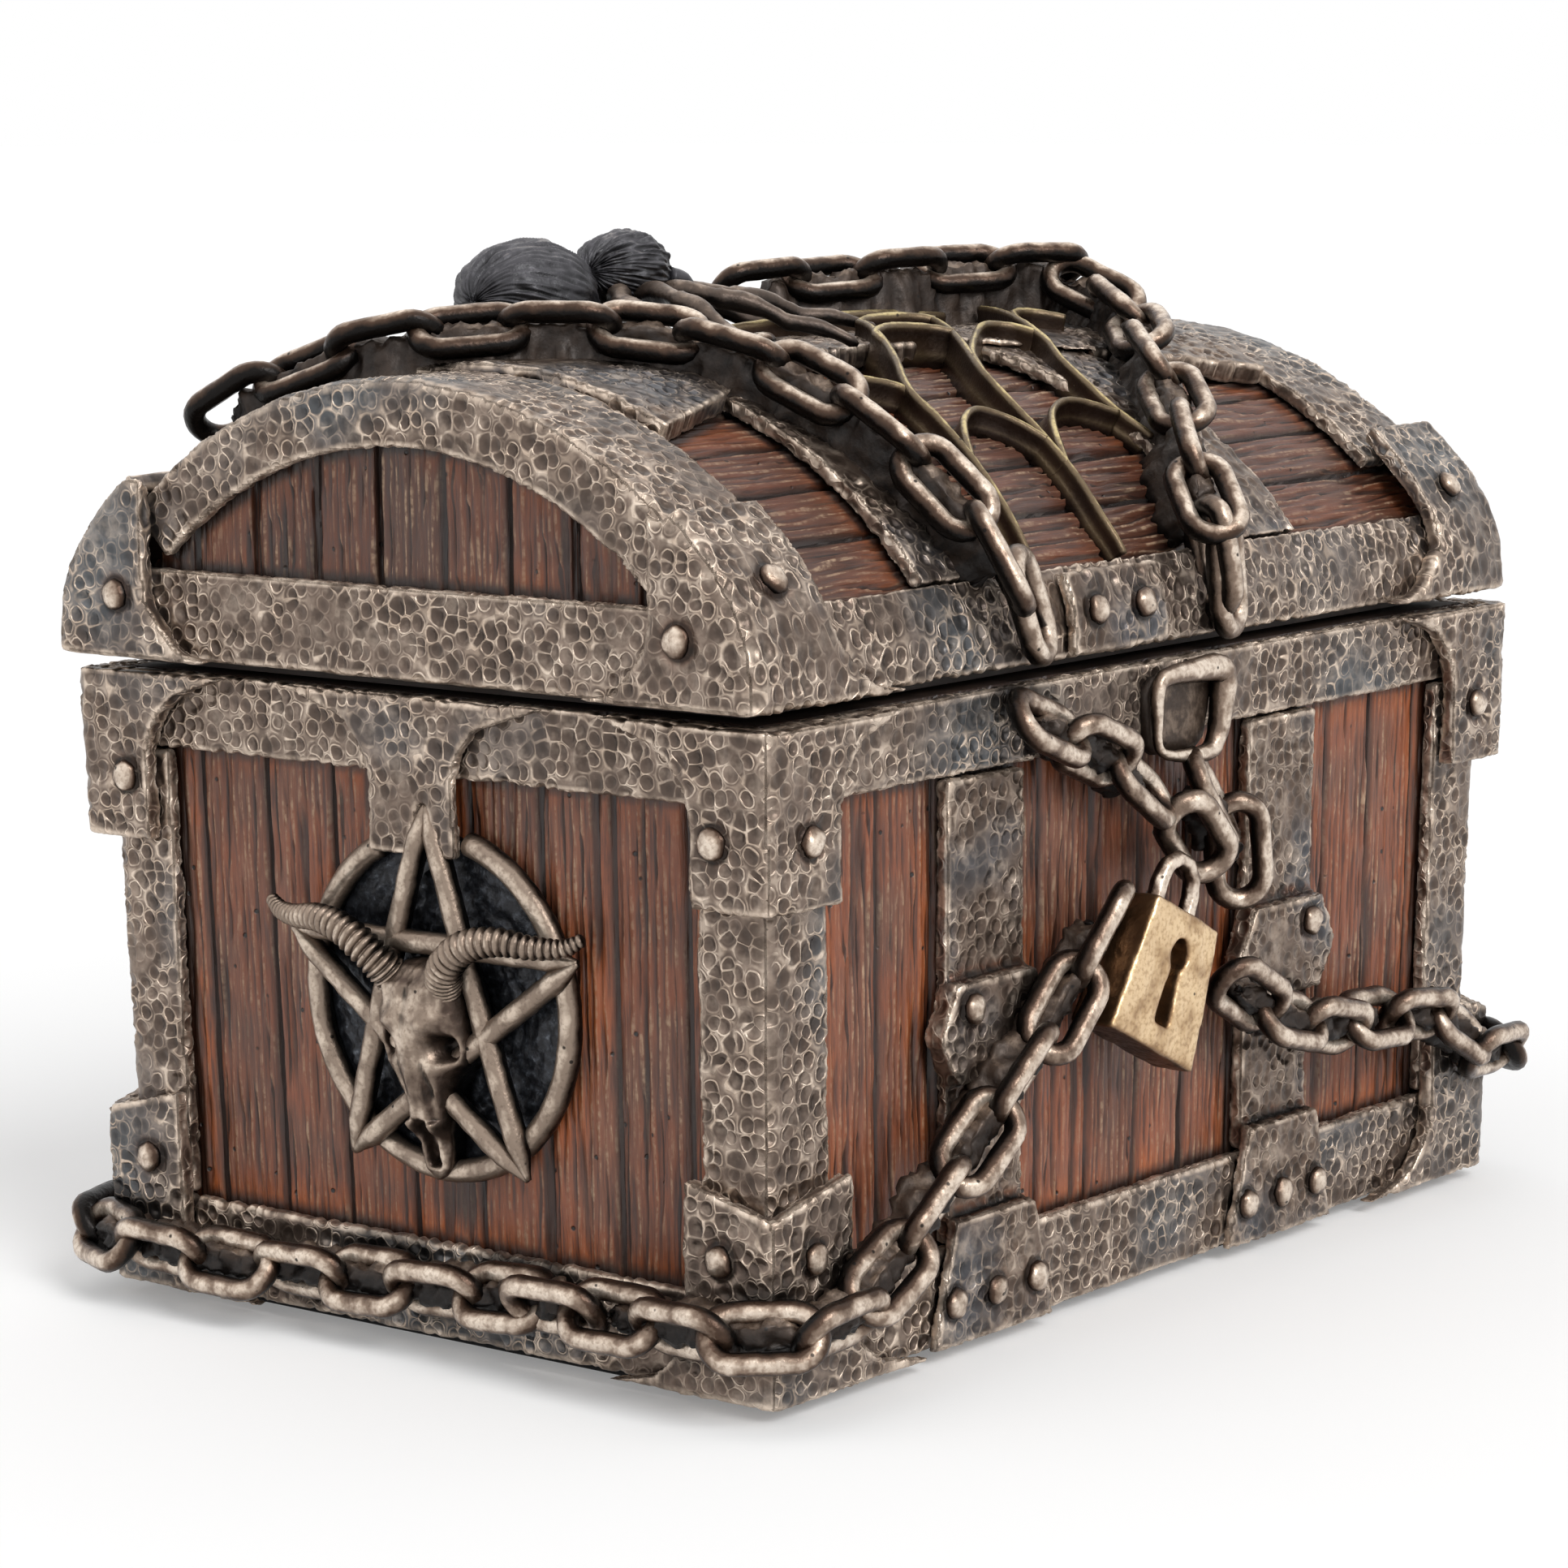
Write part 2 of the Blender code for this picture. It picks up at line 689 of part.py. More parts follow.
def straps():
    # strap, pointed plate, foot with three rivets and the step that joins foot to strap
    low, high = foot_band_top + seat_gap, rim_band_bottom - seat_gap
    top = case_foot + foot_plate_height
    z, rise, tip = rim_band_bottom - plate_drop, plate_height / 2, plate_half + plate_point
    for where, (turn, x) in strap_places.items():
        strap, extras, steps = bmesh.new(), bmesh.new(), bmesh.new()
        sheet(strap, [upright(x, strap_width / 2, low, high)], band_relief, face(turn, half_y, band_in))
        hexagon = [(x - plate_half, z - rise), (x + plate_half, z - rise), (x + tip, z),
                   (x + plate_half, z + rise), (x - plate_half, z + rise), (x - tip, z)]
        sunk = band_in + band_relief / 3
        sheet(extras, [hexagon], plate_out - sunk, face(turn, half_y, sunk))
        foot = [(x - foot_plate_half, case_foot), (x + foot_plate_half, case_foot),
                (x + foot_plate_top_half, top), (x - foot_plate_top_half, top)]
        sheet(extras, [foot], plate_relief, face(turn, half_y, over_in))
        join = [upright(x, strap_width / 2 - seat_gap, low + seat_gap, top - seat_gap)]
        sheet(steps, join, plate_out - seat_gap - sunk, face(turn, half_y, sunk))
        rivets = bmesh.new()
        place = face(turn, half_y, plate_out)
        foot_rivet_z = case_foot + strap_foot_rivet_rise
        for k in (-1, 0, 1):
            rivet(rivets, place @ Matrix.Translation((x + k * foot_rivet_pitch, foot_rivet_z, 0)))
        outwards = 1 if x * (1 if turn == front_turn else -1) > 0 else -1
        outwards *= 1 if turn == front_turn else -1
        rivet(rivets, place @ Matrix.Translation((x + outwards * plate_rivet_x, z + plate_rivet_z, 0)))
        fused("strap_" + where, [strap, extras, steps, rivets], iron, smooth=plate_crease)


def medallionPlace(where, level):
    across = medallion_y if where == "right" else -medallion_y
    return face(ends[where], half_x, level) @ Matrix.Translation((across, medallion_z, 0))


def endTabs():
    # tab that hangs from the rim, notched for the tip of the star
    for where, turn in ends.items():
        start = rim_band_bottom - seat_gap
        curve = []
        for share in spread(0.0, 1.0, tab_flare_steps):
            z = start + (case_height - start) * share
            curve.append((tab_half + (tab_flare_half - tab_half) * flareShare(share, 0.0), z))
        right = [(tab_half, tab_bottom)] + curve
        outline = right + [(-y, z) for y, z in reversed(right)]
        tab, notch = bmesh.new(), bmesh.new()
        sheet(tab, [outline], plate_relief, face(turn, half_x, over_in))
        sheet(notch, starOutlines(seat_gap)[:1], plate_out, medallionPlace(where, over_in - plate_relief))
        fused("end_tab_" + where, [tab], iron, cuts=[notch])


# Rivets, each sunk a little so that it joins the plate that it sits on
def rivet(bm, place):
    profile = ((1, -rivet_sink), (1, 0), (rivet_shoulder_share, rivet_height * rivet_step_share),
               (rivet_crown_share, rivet_height))
    rings = [[place @ Vector((x, y, height)) for x, y in circle(rivet_radius * share, rivet_sides)]
             for share, height in profile]
    loft(bm, rings)


# Medallion: disc, ring, star, skull, horns
def circle(radius, sides):
    turn = [math.tau * k / sides for k in range(sides)]
    return [(radius * math.cos(a), radius * math.sin(a)) for a in turn]


def crossing(first, second):
    # where two lines (angle of normal, distance) meet
    (a, p), (b, q) = first, second
    det = math.sin(b - a)
    return ((p * math.sin(b) - q * math.sin(a)) / det, (q * math.cos(a) - p * math.cos(b)) / det)


def starOutlines(grow=0.0):
    # five bars: outer star, middle hole and five corner holes
    turn = math.tau / star_points
    out = star_radius * math.cos(turn) + grow
    into = out - star_bar
    facing = [math.pi / 2 + turn * k for k in range(star_points)]
    outer, middle, holes = [], [], []
    for k, here in enumerate(facing):
        after, second = facing[(k + 1) % star_points], facing[(k + 2) % star_points]
        outer.append(crossing((here, out), (after, out)))
        outer.append(crossing((here, out), (second, out)))
        middle.append(crossing((here, into), (after, into)))
        before = facing[k - 1]
        holes.append([crossing((before, into), (after, into)), crossing((here, out), (before, into)),
                      crossing((here, out), (after, into))])
    order = sorted(outer, key=lambda p: math.atan2(p[1], p[0]))
    return [order, middle] + holes


def skullShape(place):
    # long head: rings from brow to muzzle, flat at the back
    bm = bmesh.new()
    rings = []
    for share, wide, deep in skull_profile_shares:
        z = skull_top + (skull_bottom - skull_top) * share
        rings.append([place @ Vector((math.cos(a) * skull_half * wide, z, math.sin(a) * skull_depth * deep))
                      for a in spread(0, math.pi, skull_sides)])
    loft(bm, rings)
    return bm


def hornShape(bm, place, side):
    points, radii = [], []
    for share in spread(0.0, 1.0, horn_steps):
        x = side * (horn_root_x + horn_span * share)
        z = horn_root_z + horn_rise * math.sin(share * math.pi * horn_sweep_share)
        points.append(place @ Vector((x, z, horn_radius + horn_lift * math.sin(share * math.pi))))
        radii.append(horn_radius * (1 - horn_thin_share * share))
    tube(bm, points, radii, horn_sides, up=(place.to_3x3() @ Vector((0, 0, 1))))


def medallions():
    # disc, ring, star and skull lie one on another; the ring is parted where the tab hangs over it
    ring_level = band_in + disc_relief + seat_gap
    star_level = ring_level + ring_relief + seat_gap
    skull_level = star_level + star_relief + seat_gap
    for where, turn in ends.items():
        disc, ring, window, star, horns = (bmesh.new() for _ in range(5))
        sheet(disc, [circle(disc_radius, disc_sides)], disc_relief, medallionPlace(where, band_in))
        keep("medallion_disc_" + where, disc, iron)
        rims = [circle(ring_radius + ring_half, disc_sides), circle(ring_radius - ring_half, disc_sides)]
        sheet(ring, rims, ring_relief, medallionPlace(where, ring_level))
        opening = upright(0, tab_half + seat_gap, tab_bottom - seat_gap, case_height)
        sheet(window, [opening], bracket_out, face(turn, half_x, 0))
        fused("medallion_ring_" + where, [ring], bronze, cuts=[window])
        sheet(star, starOutlines(), star_relief, medallionPlace(where, star_level))
        keep("medallion_star_" + where, star, bronze)
        place = medallionPlace(where, skull_level)
        for side in (-1, 1):
            hornShape(horns, place, side)
        fused("goat_skull_" + where, [skullShape(place), horns], bronze, smooth=cast_crease)


# Chains
def linkRing(bm, centre, along, lateral):
    # one link lying in the plane of along and lateral
    points = []
    for end in (1, -1):
        for a in spread(-math.pi / 2, math.pi / 2, link_arc_points):
            run = end * (link_straight + link_bend * math.cos(a))
            points.append(centre + along * run + lateral * (end * link_bend * math.sin(a)))
    tube(bm, points, [wire / 2] * len(points), link_sides, closed=True, up=along.cross(lateral))


def pathPoint(path, place, u):
    # position and outward normal at a run along the path's control points
    for (u0, z0, b0), (u1, z1, b1) in zip(path, path[1:]):
        if (u0 <= u <= u1) or (u1 <= u <= u0):
            share = (u - u0) / (u1 - u0)
            return place(u, z0 + (z1 - z0) * share, b0 + (b1 - b0) * share + chain_rise)
    return None


def chainFrames(path, place, breaks):
    # link centres so that each link hooks into the one before it; the links of one casting merge a
    # little where they touch, and a break leaves a clear gap between two castings
    step = path_step if path[-1][0] > path[0][0] else -path_step
    reach = link_straight + link_bend
    frames = []

    def frameAt(u):
        here, ahead = pathPoint(path, place, u), pathPoint(path, place, u + step)
        if here is None or ahead is None:
            return None
        along = (ahead[0] - here[0]).normalized()
        normal = (here[1] - along * here[1].dot(along)).normalized()
        return here[0], along, normal

    u = path[0][0]
    last, part = frameAt(u), 0
    while last:
        frames.append((part, *last))
        tip = last[0] + last[1] * reach
        nxt, past = last, False
        while nxt:
            chord = nxt[0] - last[0]
            if chord.length > reach:
                tail = nxt[0] - nxt[1] * reach
                past = part < len(breaks) and (u - breaks[part]) * step > 0
                if (tip - tail).dot(chord.normalized()) <= wire + (link_clearance if past else -link_merge):
                    break
            u += step
            nxt = frameAt(u)
        part += 1 if past else 0
        last = nxt
    return frames


def chain(names, path, place, on_lid=False, breaks=()):
    links = {name: (bmesh.new(), bmesh.new()) for name in names}
    for k, (part, centre, along, normal) in enumerate(chainFrames(path, place, breaks)):
        lean = link_lean if k % 2 == 0 else -link_lean
        side = along.cross(normal)
        linkRing(links[names[part]][k % 2], centre, along, side * math.cos(lean) + normal * math.sin(lean))
    for name, pair in links.items():
        # the case chains are placed on the tapered walls already, so they keep their shape here
        fused(name, [bm for bm in pair if bm.verts], bronze, on_lid, ball_crease, taper=False)


def onLayers(path, start=0.0, height=0.0):
    return [(start + run, height + across, chain_layers[layer] + seat_gap) for run, across, layer in path]


def frontRun(x):
    # run from the front left corner to a place on the front
    return x + half_x - chain_corner + corner_run / 2


def caseChains():
    # one chain runs round the foot in five castings, two short ones hang at the staple
    starts = (0.0, -side_runs[1], -side_runs[0] - side_runs[1], -side_runs[0] - 2 * side_runs[1])
    full = -2 * (side_runs[0] + side_runs[1])
    wrap = onLayers(wrap_from_lock, frontRun(lock_x), lock_z)
    for start, stretch in zip(starts, wrap_stretches):
        wrap += onLayers(stretch, start)
    wrap += onLayers(wrap_to_lock, full + frontRun(lock_x), lock_z)
    breaks = [start + run for start, run in zip(starts, wrap_break_runs)]
    chain(wrap_names, wrap, casePoint, breaks=breaks)
    chain(["chain_hang_left"], onLayers(hang_left_path, frontRun(staple_x), staple_z), casePoint)
    chain(["chain_hang_right"], onLayers(hang_right_path, frontRun(staple_x), staple_z), casePoint)


# Padlock and staple
def lockFrame(level):
    spot = Matrix.Translation((lock_x, lock_z, 0)) @ Matrix.Rotation(lock_tilt, 4, "Z")
    return face(front_turn, half_y, level) @ spot


def lockBody():
    outline = [(-lock_bottom_half, -lock_half_height), (lock_bottom_half, -lock_half_height),
               (lock_top_half, lock_half_height), (-lock_top_half, lock_half_height)]
    block, slot = bmesh.new(), bmesh.new()
    sheet(block, [outline], lock_thickness, lockFrame(lock_lift))
    bmesh.ops.dissolve_limit(block, angle_limit=math.radians(1), verts=block.verts, edges=block.edges)
    bmesh.ops.bevel(block, geom=list(block.edges), offset=lock_bevel, segments=2, profile=0.5, affect="EDGES")
    slot_end = key_top - key_slot_length
    start = math.asin(key_slot_half / key_radius)
    turn = spread(-math.pi / 2 + start, math.tau - math.pi / 2 - start, key_points)
    keyhole = [(key_radius * math.cos(a), key_top + key_radius * math.sin(a)) for a in turn]
    keyhole += [(-key_slot_half, slot_end), (key_slot_half, slot_end)]
    sheet(slot, [keyhole], key_depth * 2, lockFrame(lock_lift + lock_thickness - key_depth))
    fused("padlock_body", [block], brass, smooth=plate_crease, cuts=[slot])


def lockShackle():
    start = lock_half_height + seat_gap
    arch = [(shackle_half * math.cos(a), start + shackle_leg + shackle_half * math.sin(a))
            for a in spread(math.pi, 0, shackle_points)]
    outline = [(-shackle_half, start)] + arch + [(shackle_half, start)]
    place = lockFrame(lock_lift + lock_thickness / 2)
    points = [place @ Vector((x, z, 0)) for x, z in outline]
    bm = bmesh.new()
    tube(bm, points, [shackle_wire / 2] * len(points), small_wire_sides, up=Vector((0, -1, 0)))
    keep("padlock_shackle", bm, brass, smooth=cast_crease)


def haspStaple():
    place = face(front_turn, half_y, over_in + staple_wire / 2) @ Matrix.Translation((staple_x, staple_z, 0))
    points = [place @ Vector((staple_half * wide, staple_half_height * high, 0))
              for wide, high in staple_outline_shares]
    bm = bmesh.new()
    tube(bm, points, [staple_wire / 2] * len(points), small_wire_sides, closed=True, up=Vector((0, -1, 0)))
    keep("hasp_staple", bm, bronze, smooth=cast_crease)


# Lid body
def lidOutline():
    # section with a notch between the lengthwise boards
    first, last = -rim_run + lid_rim_height, rim_run - lid_rim_height
    joins = [first + (last - first) * k / lid_boards for k in range(1, lid_boards)]
    plain = [side * t for side in (-1, 1) for t in [rim_run] + spread(shoulder_run, crown_run, shoulder_points)]
    points = [(t, 0) for t in plain if min(abs(t - join) for join in joins) > groove_half]
    for t in joins:
        points += [(t - groove_half, 0), (t, -groove_depth), (t + groove_half, 0)]
    return [lidSection(t, off)[:2] for t, off in sorted(points)]


def archOutline(radius, reach, count):
    # arc about the centre of the lid's wide arc
    return [(radius * math.sin(a), crown_centre_z + radius * math.cos(a)) for a in spread(-reach, reach, count)]


along_x = Matrix(((0, 0, 1, 0), (1, 0, 0, 0), (0, 1, 0, 0), (0, 0, 0, 1)))


def lidShell():
    # barrel, step that rests on the case, lip that drops into it, less the hollow
    block, rest, lip, hollow = (bmesh.new() for _ in range(4))
    half = lid_core_half_x
    sheet(block, [lidOutline()], 2 * half, Matrix.Translation((-half, 0, 0)) @ along_x)
    step_x, step_y = half_x - rest_inset, half_y - rest_inset
    rest_z = case_height + seat_gap
    box(rest, (-step_x, -step_y, rest_z), (step_x, step_y, lid_bottom + lip_thickness))
    lip_x, lip_y = half_x - case_wall - lip_clearance, half_y - case_wall - lip_clearance
    box(lip, (-lip_x, -lip_y, rest_z - lip_depth), (lip_x, lip_y, lid_bottom + lip_thickness / 2))
    in_x, in_y = lip_x - lip_thickness, lip_y - lip_thickness
    roof = crown_radius - lid_wall
    reach = math.asin(in_y / roof)
    arch = archOutline(roof, reach, roof_points)
    floor = rest_z - lip_depth - cavity_reach
    outline = [(-in_y, floor)] + arch + [(in_y, floor)]
    sheet(hollow, [outline], 2 * in_x, Matrix.Translation((-in_x, 0, 0)) @ along_x)
    fused("lid_shell", [block, rest, lip], wood, on_lid=True, cuts=[hollow])


def endPanels():
    # arched panel of upright boards, tucked behind the bands
    radius = lunette_radius + board_tuck
    low = lunette_bottom - board_tuck
    reach = math.acos((low - crown_centre_z) / radius)
    arch = archOutline(radius, reach, lunette_points)
    for where, turn in ends.items():
        panel, grooves = bmesh.new(), bmesh.new()
        sheet(panel, [arch], end_board_thick, face(turn, lid_half_x, -end_board_thick))
        edge = arch[-1][0]
        for k in range(1, lid_end_boards):
            y = -edge + 2 * edge * k / lid_end_boards
            slot = upright(y, groove_half, low - board_tuck, crown_centre_z + radius + board_tuck)
            sheet(grooves, [slot], end_board_thick, face(turn, lid_half_x, -end_board_thick / 2))
        fused("lid_end_panel_" + where, [panel], wood, on_lid=True, cuts=[grooves])


def lidRimBand():
    top = lid_bottom + lid_rim_height
    bodies = []
    for side in (-1, 1):
        runs = [side * t for t in spread(rim_run, runAtHeight(top), shoulder_points)]
        past = lid_half_x + (band_in + band_out) / 2
        bodies.append(bmesh.new())
        lidPatch(bodies[-1], runs, lambda t: (-past, past), band_in, band_out)
    for turn in ends.values():
        inside = band_out - seat_gap
        edge = [lidSection(t, inside)[:2] for t in spread(rim_run, runAtHeight(top, inside), shoulder_points)]
        outline = edge + [(-y, z) for y, z in reversed(edge)]
        bodies.append(bmesh.new())
        sheet(bodies[-1], [outline], band_relief, face(turn, lid_half_x, band_in))
    fused("lid_rim_band", bodies, iron, on_lid=True, smooth=plate_crease)


def archBands():
    lift = lunette_radius - crown_radius
    for where, sign in (("left", -1), ("right", 1)):
        rings = []
        for a in spread(-arch_angle, arch_angle, lid_arc_points):
            t = a * crown_radius
            inner = lid_half_x + band_out - arch_width
            shape = ((inner, band_in), (inner, band_out), (lid_half_x + band_out - corner_round / 2, band_out),
                     (lid_half_x + band_out, band_out - corner_round / 2), (lid_half_x + band_out, lift),
                     (lid_half_x + band_in, lift), (lid_half_x + band_in, band_in))
            rings.append([lidPoint(sign * x, t, off)[0] for x, off in shape])
        bm = bmesh.new()
        loft(bm, rings)
        keep("lid_arch_band_" + where, bm, iron, on_lid=True, smooth=plate_crease)


def lidSeat(x, z, off, side):
    # frame that stands on the barrel at a height, Z outwards
    t = side * runAtHeight(z, off)
    spot, normal = lidPoint(x, t, off)
    across = Vector((1, 0, 0))
    return Matrix.Translation(spot) @ Matrix((across, normal.cross(across), normal)).transposed().to_4x4()


def lidBrackets():
    run_top = lid_bracket_top * crown_radius
    runs = [rim_run, (rim_run + shoulder_run) / 2]
    runs += spread(shoulder_run, crown_run, shoulder_points - 1) + [(crown_run + run_top) / 2, run_top]
    rings = []
    outer_x = lid_half_x + bracket_out
    for t in runs:
        y, z, _ = lidSection(-t, bracket_out)
        share = max(0.0, 1 - (z - lid_bottom) / lid_flare_height)
        flare = flareShare(share, 0.0)
        x_in = outer_x - lid_bracket_width - lid_bracket_flare * flare
        edge_y = lid_bracket_end_width - lid_half + lid_bracket_end_flare * flare
        edge_y = max(edge_y, y + lid_bracket_least)
        r = corner_round
        soft = r * (1 - math.cos(math.pi / 4))
        skin = ((x_in, over_in), (x_in, bracket_out), (outer_x - r, bracket_out),
                (outer_x - soft, bracket_out - soft), (outer_x, bracket_out - r))
        ring = [lidPoint(-x, -t, off)[0] for x, off in skin]
        low_z = lidSection(-t, over_in)[1]
        ring += [Vector((-outer_x, edge_y, z)), Vector((-lid_half_x - over_in, edge_y, low_z)),
                 lidPoint(-lid_half_x - over_in, -t, over_in)[0]]
        rings.append(ring)
    for corner, (sx, sy) in corners.items():
        bm, rivets = bmesh.new(), bmesh.new()
        loft(bm, rings)
        rivet(rivets, lidSeat(lid_rivet_inset - lid_length / 2, lid_bottom + lid_rivet_rise, bracket_out, -1))
        spot = Matrix.Translation((lid_half - lid_end_rivet_inset, lid_bottom + lid_end_rivet_rise, 0))
        rivet(rivets, face(left_turn, lid_half_x, bracket_out) @ spot)
        mirrored(bm, sx, sy)
        mirrored(rivets, sx, sy)
        fused("lid_bracket_" + corner, [bm, rivets], iron, on_lid=True, smooth=plate_crease)


def lidStraps():
    top = runAtHeight(lid_bottom + lid_rim_height)
    last = top - seat_gap
    for where, x in (("left", strap_left_x), ("right", strap_right_x)):
        bm = bmesh.new()
        lidPatch(bm, spread(-last, last, lid_strap_points),
                 lambda t: (x - strap_width / 2, x + strap_width / 2), band_in, band_out)
        keep("lid_strap_" + where, bm, iron, on_lid=True, smooth=plate_crease)


def ridgeStrap():
    # lengthwise strap, waisted in the middle, notched where it crosses the arched straps
    far = lid_half_x + band_out - arch_width - seat_gap
    bm = bmesh.new()
    rings = []
    halves = ((far, ridge_end_half), (ridge_waist_x, ridge_waist_half), (ridge_neck_x, ridge_half))
    outline = [(-x, half) for x, half in halves] + list(halves[::-1])
    for x, half in outline:
        runs = spread(-half, half, ridge_points)
        top = [lidPoint(x, t, ridge_out)[0] for t in runs]
        rings.append(top + [lidPoint(x, t, band_in)[0] for t in runs[::-1]])
    loft(bm, rings)
    notches = bmesh.new()
    notch_reach = ridge_end_half + strap_width / 2
    for x in (strap_left_x, strap_right_x):
        gap_half = strap_width / 2 + seat_gap
        lidPatch(notches, spread(-notch_reach, notch_reach, ridge_points),
                 lambda t: (x - gap_half, x + gap_half), band_in - band_relief, over_in)
    rivets = bmesh.new()
    rivet(rivets, Matrix.Translation(lidPoint(-ridge_rivet_x, 0, ridge_out)[0]))
    fused("lid_ridge_strap", [bm, rivets], iron, on_lid=True, smooth=plate_crease, cuts=[notches])


def haspPlate():
    plate, rivets = bmesh.new(), bmesh.new()
    runs = spread(-rim_run + seat_gap, -runAtHeight(lid_bottom + hasp_height, over_in), hasp_points)
    lidPatch(plate, runs, lambda t: (hasp_x - hasp_half, hasp_x + hasp_half), over_in, plate_out)
    for sx in (-1, 1):
        rivet(rivets, lidSeat(hasp_x + sx * hasp_rivet_pitch / 2, lid_bottom + hasp_rivet_rise, plate_out, -1))
    fused("lid_hasp_plate", [plate, rivets], iron, on_lid=True, smooth=plate_crease)


def lidChains():
    def onRun(t, x, off):
        return lidPoint(x, t, off)

    chain(["lid_chain_left"], onLayers(lid_left_path), onRun, on_lid=True)
    chain(["lid_chain_right"], onLayers(lid_right_path), onRun, on_lid=True)


# Spider and web
def sphere(bm, spot, radius, height_share):
    shape = Matrix.Translation(spot) @ Matrix.Diagonal((1, 1, height_share, 1))
    bmesh.ops.create_uvsphere(bm, u_segments=spider_sides, v_segments=spider_rings, radius=radius, matrix=shape)


def spiderBack():
    bm = bmesh.new()
    sphere(bm, (abdomen_x, abdomen_y, crown_top + abdomen_rise), abdomen_half, abdomen_height_share)
    keep("spider_abdomen", bm, charcoal, on_lid=True, smooth=ball_crease)


def spiderFront():
    # head with eight legs: hip in the head, knee above the lid, foot on the lid
    head = Vector((head_x, head_y, crown_top + head_rise))
    bodies = [bmesh.new()]
    sphere(bodies[0], head, head_half, 1)
    rest = ridge_out + seat_gap + leg_wire
    for foot_x, foot_t in spider_feet:
        foot = lidPoint(foot_x, foot_t, rest)[0]
        away = Vector((foot.x - head.x, foot.y - head.y, 0)).normalized()
        hip = head + away * head_half * hip_out_share - Vector((0, 0, head_half * hip_drop_share))
        knee = hip.lerp(foot, knee_share) + Vector((0, 0, leg_lift))
        ankle = hip.lerp(foot, ankle_share) + Vector((0, 0, leg_lift * ankle_lift_share))
        bodies.append(bmesh.new())
        radii = [leg_wire * share for share in leg_taper_shares]
        tube(bodies[-1], [hip, knee, ankle, foot], radii, leg_sides)
    fused("spider_head", bodies, charcoal, on_lid=True, smooth=cast_crease)


def webThreads():
    # net of spokes and sagging cross threads, drawn flat as run and length, then laid on the barrel
    half = web_wire / 2
    angles = [math.radians(a) for a in web_angles]
    reach = list(web_reach)

    def ring(k, q, share):
        # distance from the hub of cross thread number share between spokes k and k + 1
        span = reach[k] + (reach[k + 1] - reach[k]) * q
        return span * share * (1 - web_sag * math.sin(math.pi * q))

    def spot(k, q, r, edge=0.0):
        # place between spokes k and k + 1, edge pushes it sideways off a spoke
        a = angles[k] + (angles[k + 1] - angles[k]) * q
        a += edge / r
        return (web_hub_x + r * math.cos(a), web_hub_t + r * math.sin(a))

    cross = spread(0.0, 1.0, web_steps)
    outer, holes = [], []
    for k in range(len(angles) - 1):
        outer.append(spot(k, 0, reach[k], -half))
        outer.append(spot(k, 0, reach[k], half))
        for q in cross:
            edge = half * (1 - 2 * q)
            outer.append(spot(k, q, ring(k, q, web_rings[-1]) + half, edge))
        for low, high in zip((web_start,) + web_rings, web_rings):
            inner = [spot(k, q, ring(k, q, low) + half, half * (1 - 2 * q)) for q in cross]
            outside = [spot(k, q, ring(k, q, high) - half, half * (1 - 2 * q)) for q in cross]
            holes.append(inner + outside[::-1])
    last = len(angles) - 2
    outer.append(spot(last, 1, reach[-1], -half))
    outer.append(spot(last, 1, reach[-1], half))
    outer += [spot(last, 1, ring(last, 1, share), half) for share in web_rings[::-1]]
    for k in range(last, -1, -1):
        for q in cross[::-1]:
            edge = half if (k, q) == (last, 1.0) else -half if (k, q) == (0, 0.0) else 0.0
            outer.append(spot(k, q, ring(k, q, web_start) - half, edge))
    outer += [spot(0, 0, ring(0, 0, share), -half) for share in web_rings]
    bm = bmesh.new()
    sheet(bm, [outer] + holes, web_wire, Matrix.Identity(4))
    for v in bm.verts:
        v.co = lidPoint(v.co.x, v.co.y, v.co.z + ridge_out + seat_gap)[0]
    keep("web_threads", bm, gilt, on_lid=True)


caseShell()
baseFelt()
hoop("case_rim_band", rim_band_bottom, case_height)
hoop("case_foot_band", case_foot, foot_band_top)
cornerPosts()
topBrackets()
footBrackets()
straps()
endTabs()
medallions()
lockBody()
lockShackle()
haspStaple()
caseChains()
lidShell()
endPanels()
lidRimBand()
archBands()
lidBrackets()
lidStraps()
ridgeStrap()
haspPlate()
lidChains()
spiderBack()
spiderFront()
webThreads()
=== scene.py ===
import json
import math

import bmesh
import bpy
import numpy as np
from mathutils import Matrix, Vector, noise

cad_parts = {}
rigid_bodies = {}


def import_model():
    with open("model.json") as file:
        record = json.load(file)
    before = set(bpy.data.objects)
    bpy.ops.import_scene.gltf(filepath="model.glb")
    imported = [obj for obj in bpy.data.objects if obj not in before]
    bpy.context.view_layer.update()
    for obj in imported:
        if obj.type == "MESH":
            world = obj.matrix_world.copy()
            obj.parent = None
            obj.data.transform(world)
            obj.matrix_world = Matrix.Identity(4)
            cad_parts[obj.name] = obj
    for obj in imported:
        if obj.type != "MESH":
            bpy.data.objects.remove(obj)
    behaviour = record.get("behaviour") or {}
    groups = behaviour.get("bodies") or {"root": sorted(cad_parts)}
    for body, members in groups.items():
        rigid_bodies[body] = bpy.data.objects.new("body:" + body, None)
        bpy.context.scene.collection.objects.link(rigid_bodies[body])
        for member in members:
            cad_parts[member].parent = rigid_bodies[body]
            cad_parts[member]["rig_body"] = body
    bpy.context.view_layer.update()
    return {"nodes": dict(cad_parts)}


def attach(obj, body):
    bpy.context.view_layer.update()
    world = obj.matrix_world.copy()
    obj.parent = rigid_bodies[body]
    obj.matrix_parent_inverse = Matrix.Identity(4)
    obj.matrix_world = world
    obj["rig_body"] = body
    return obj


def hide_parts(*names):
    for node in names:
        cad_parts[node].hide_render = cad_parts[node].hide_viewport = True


mm = 0.001
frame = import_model()
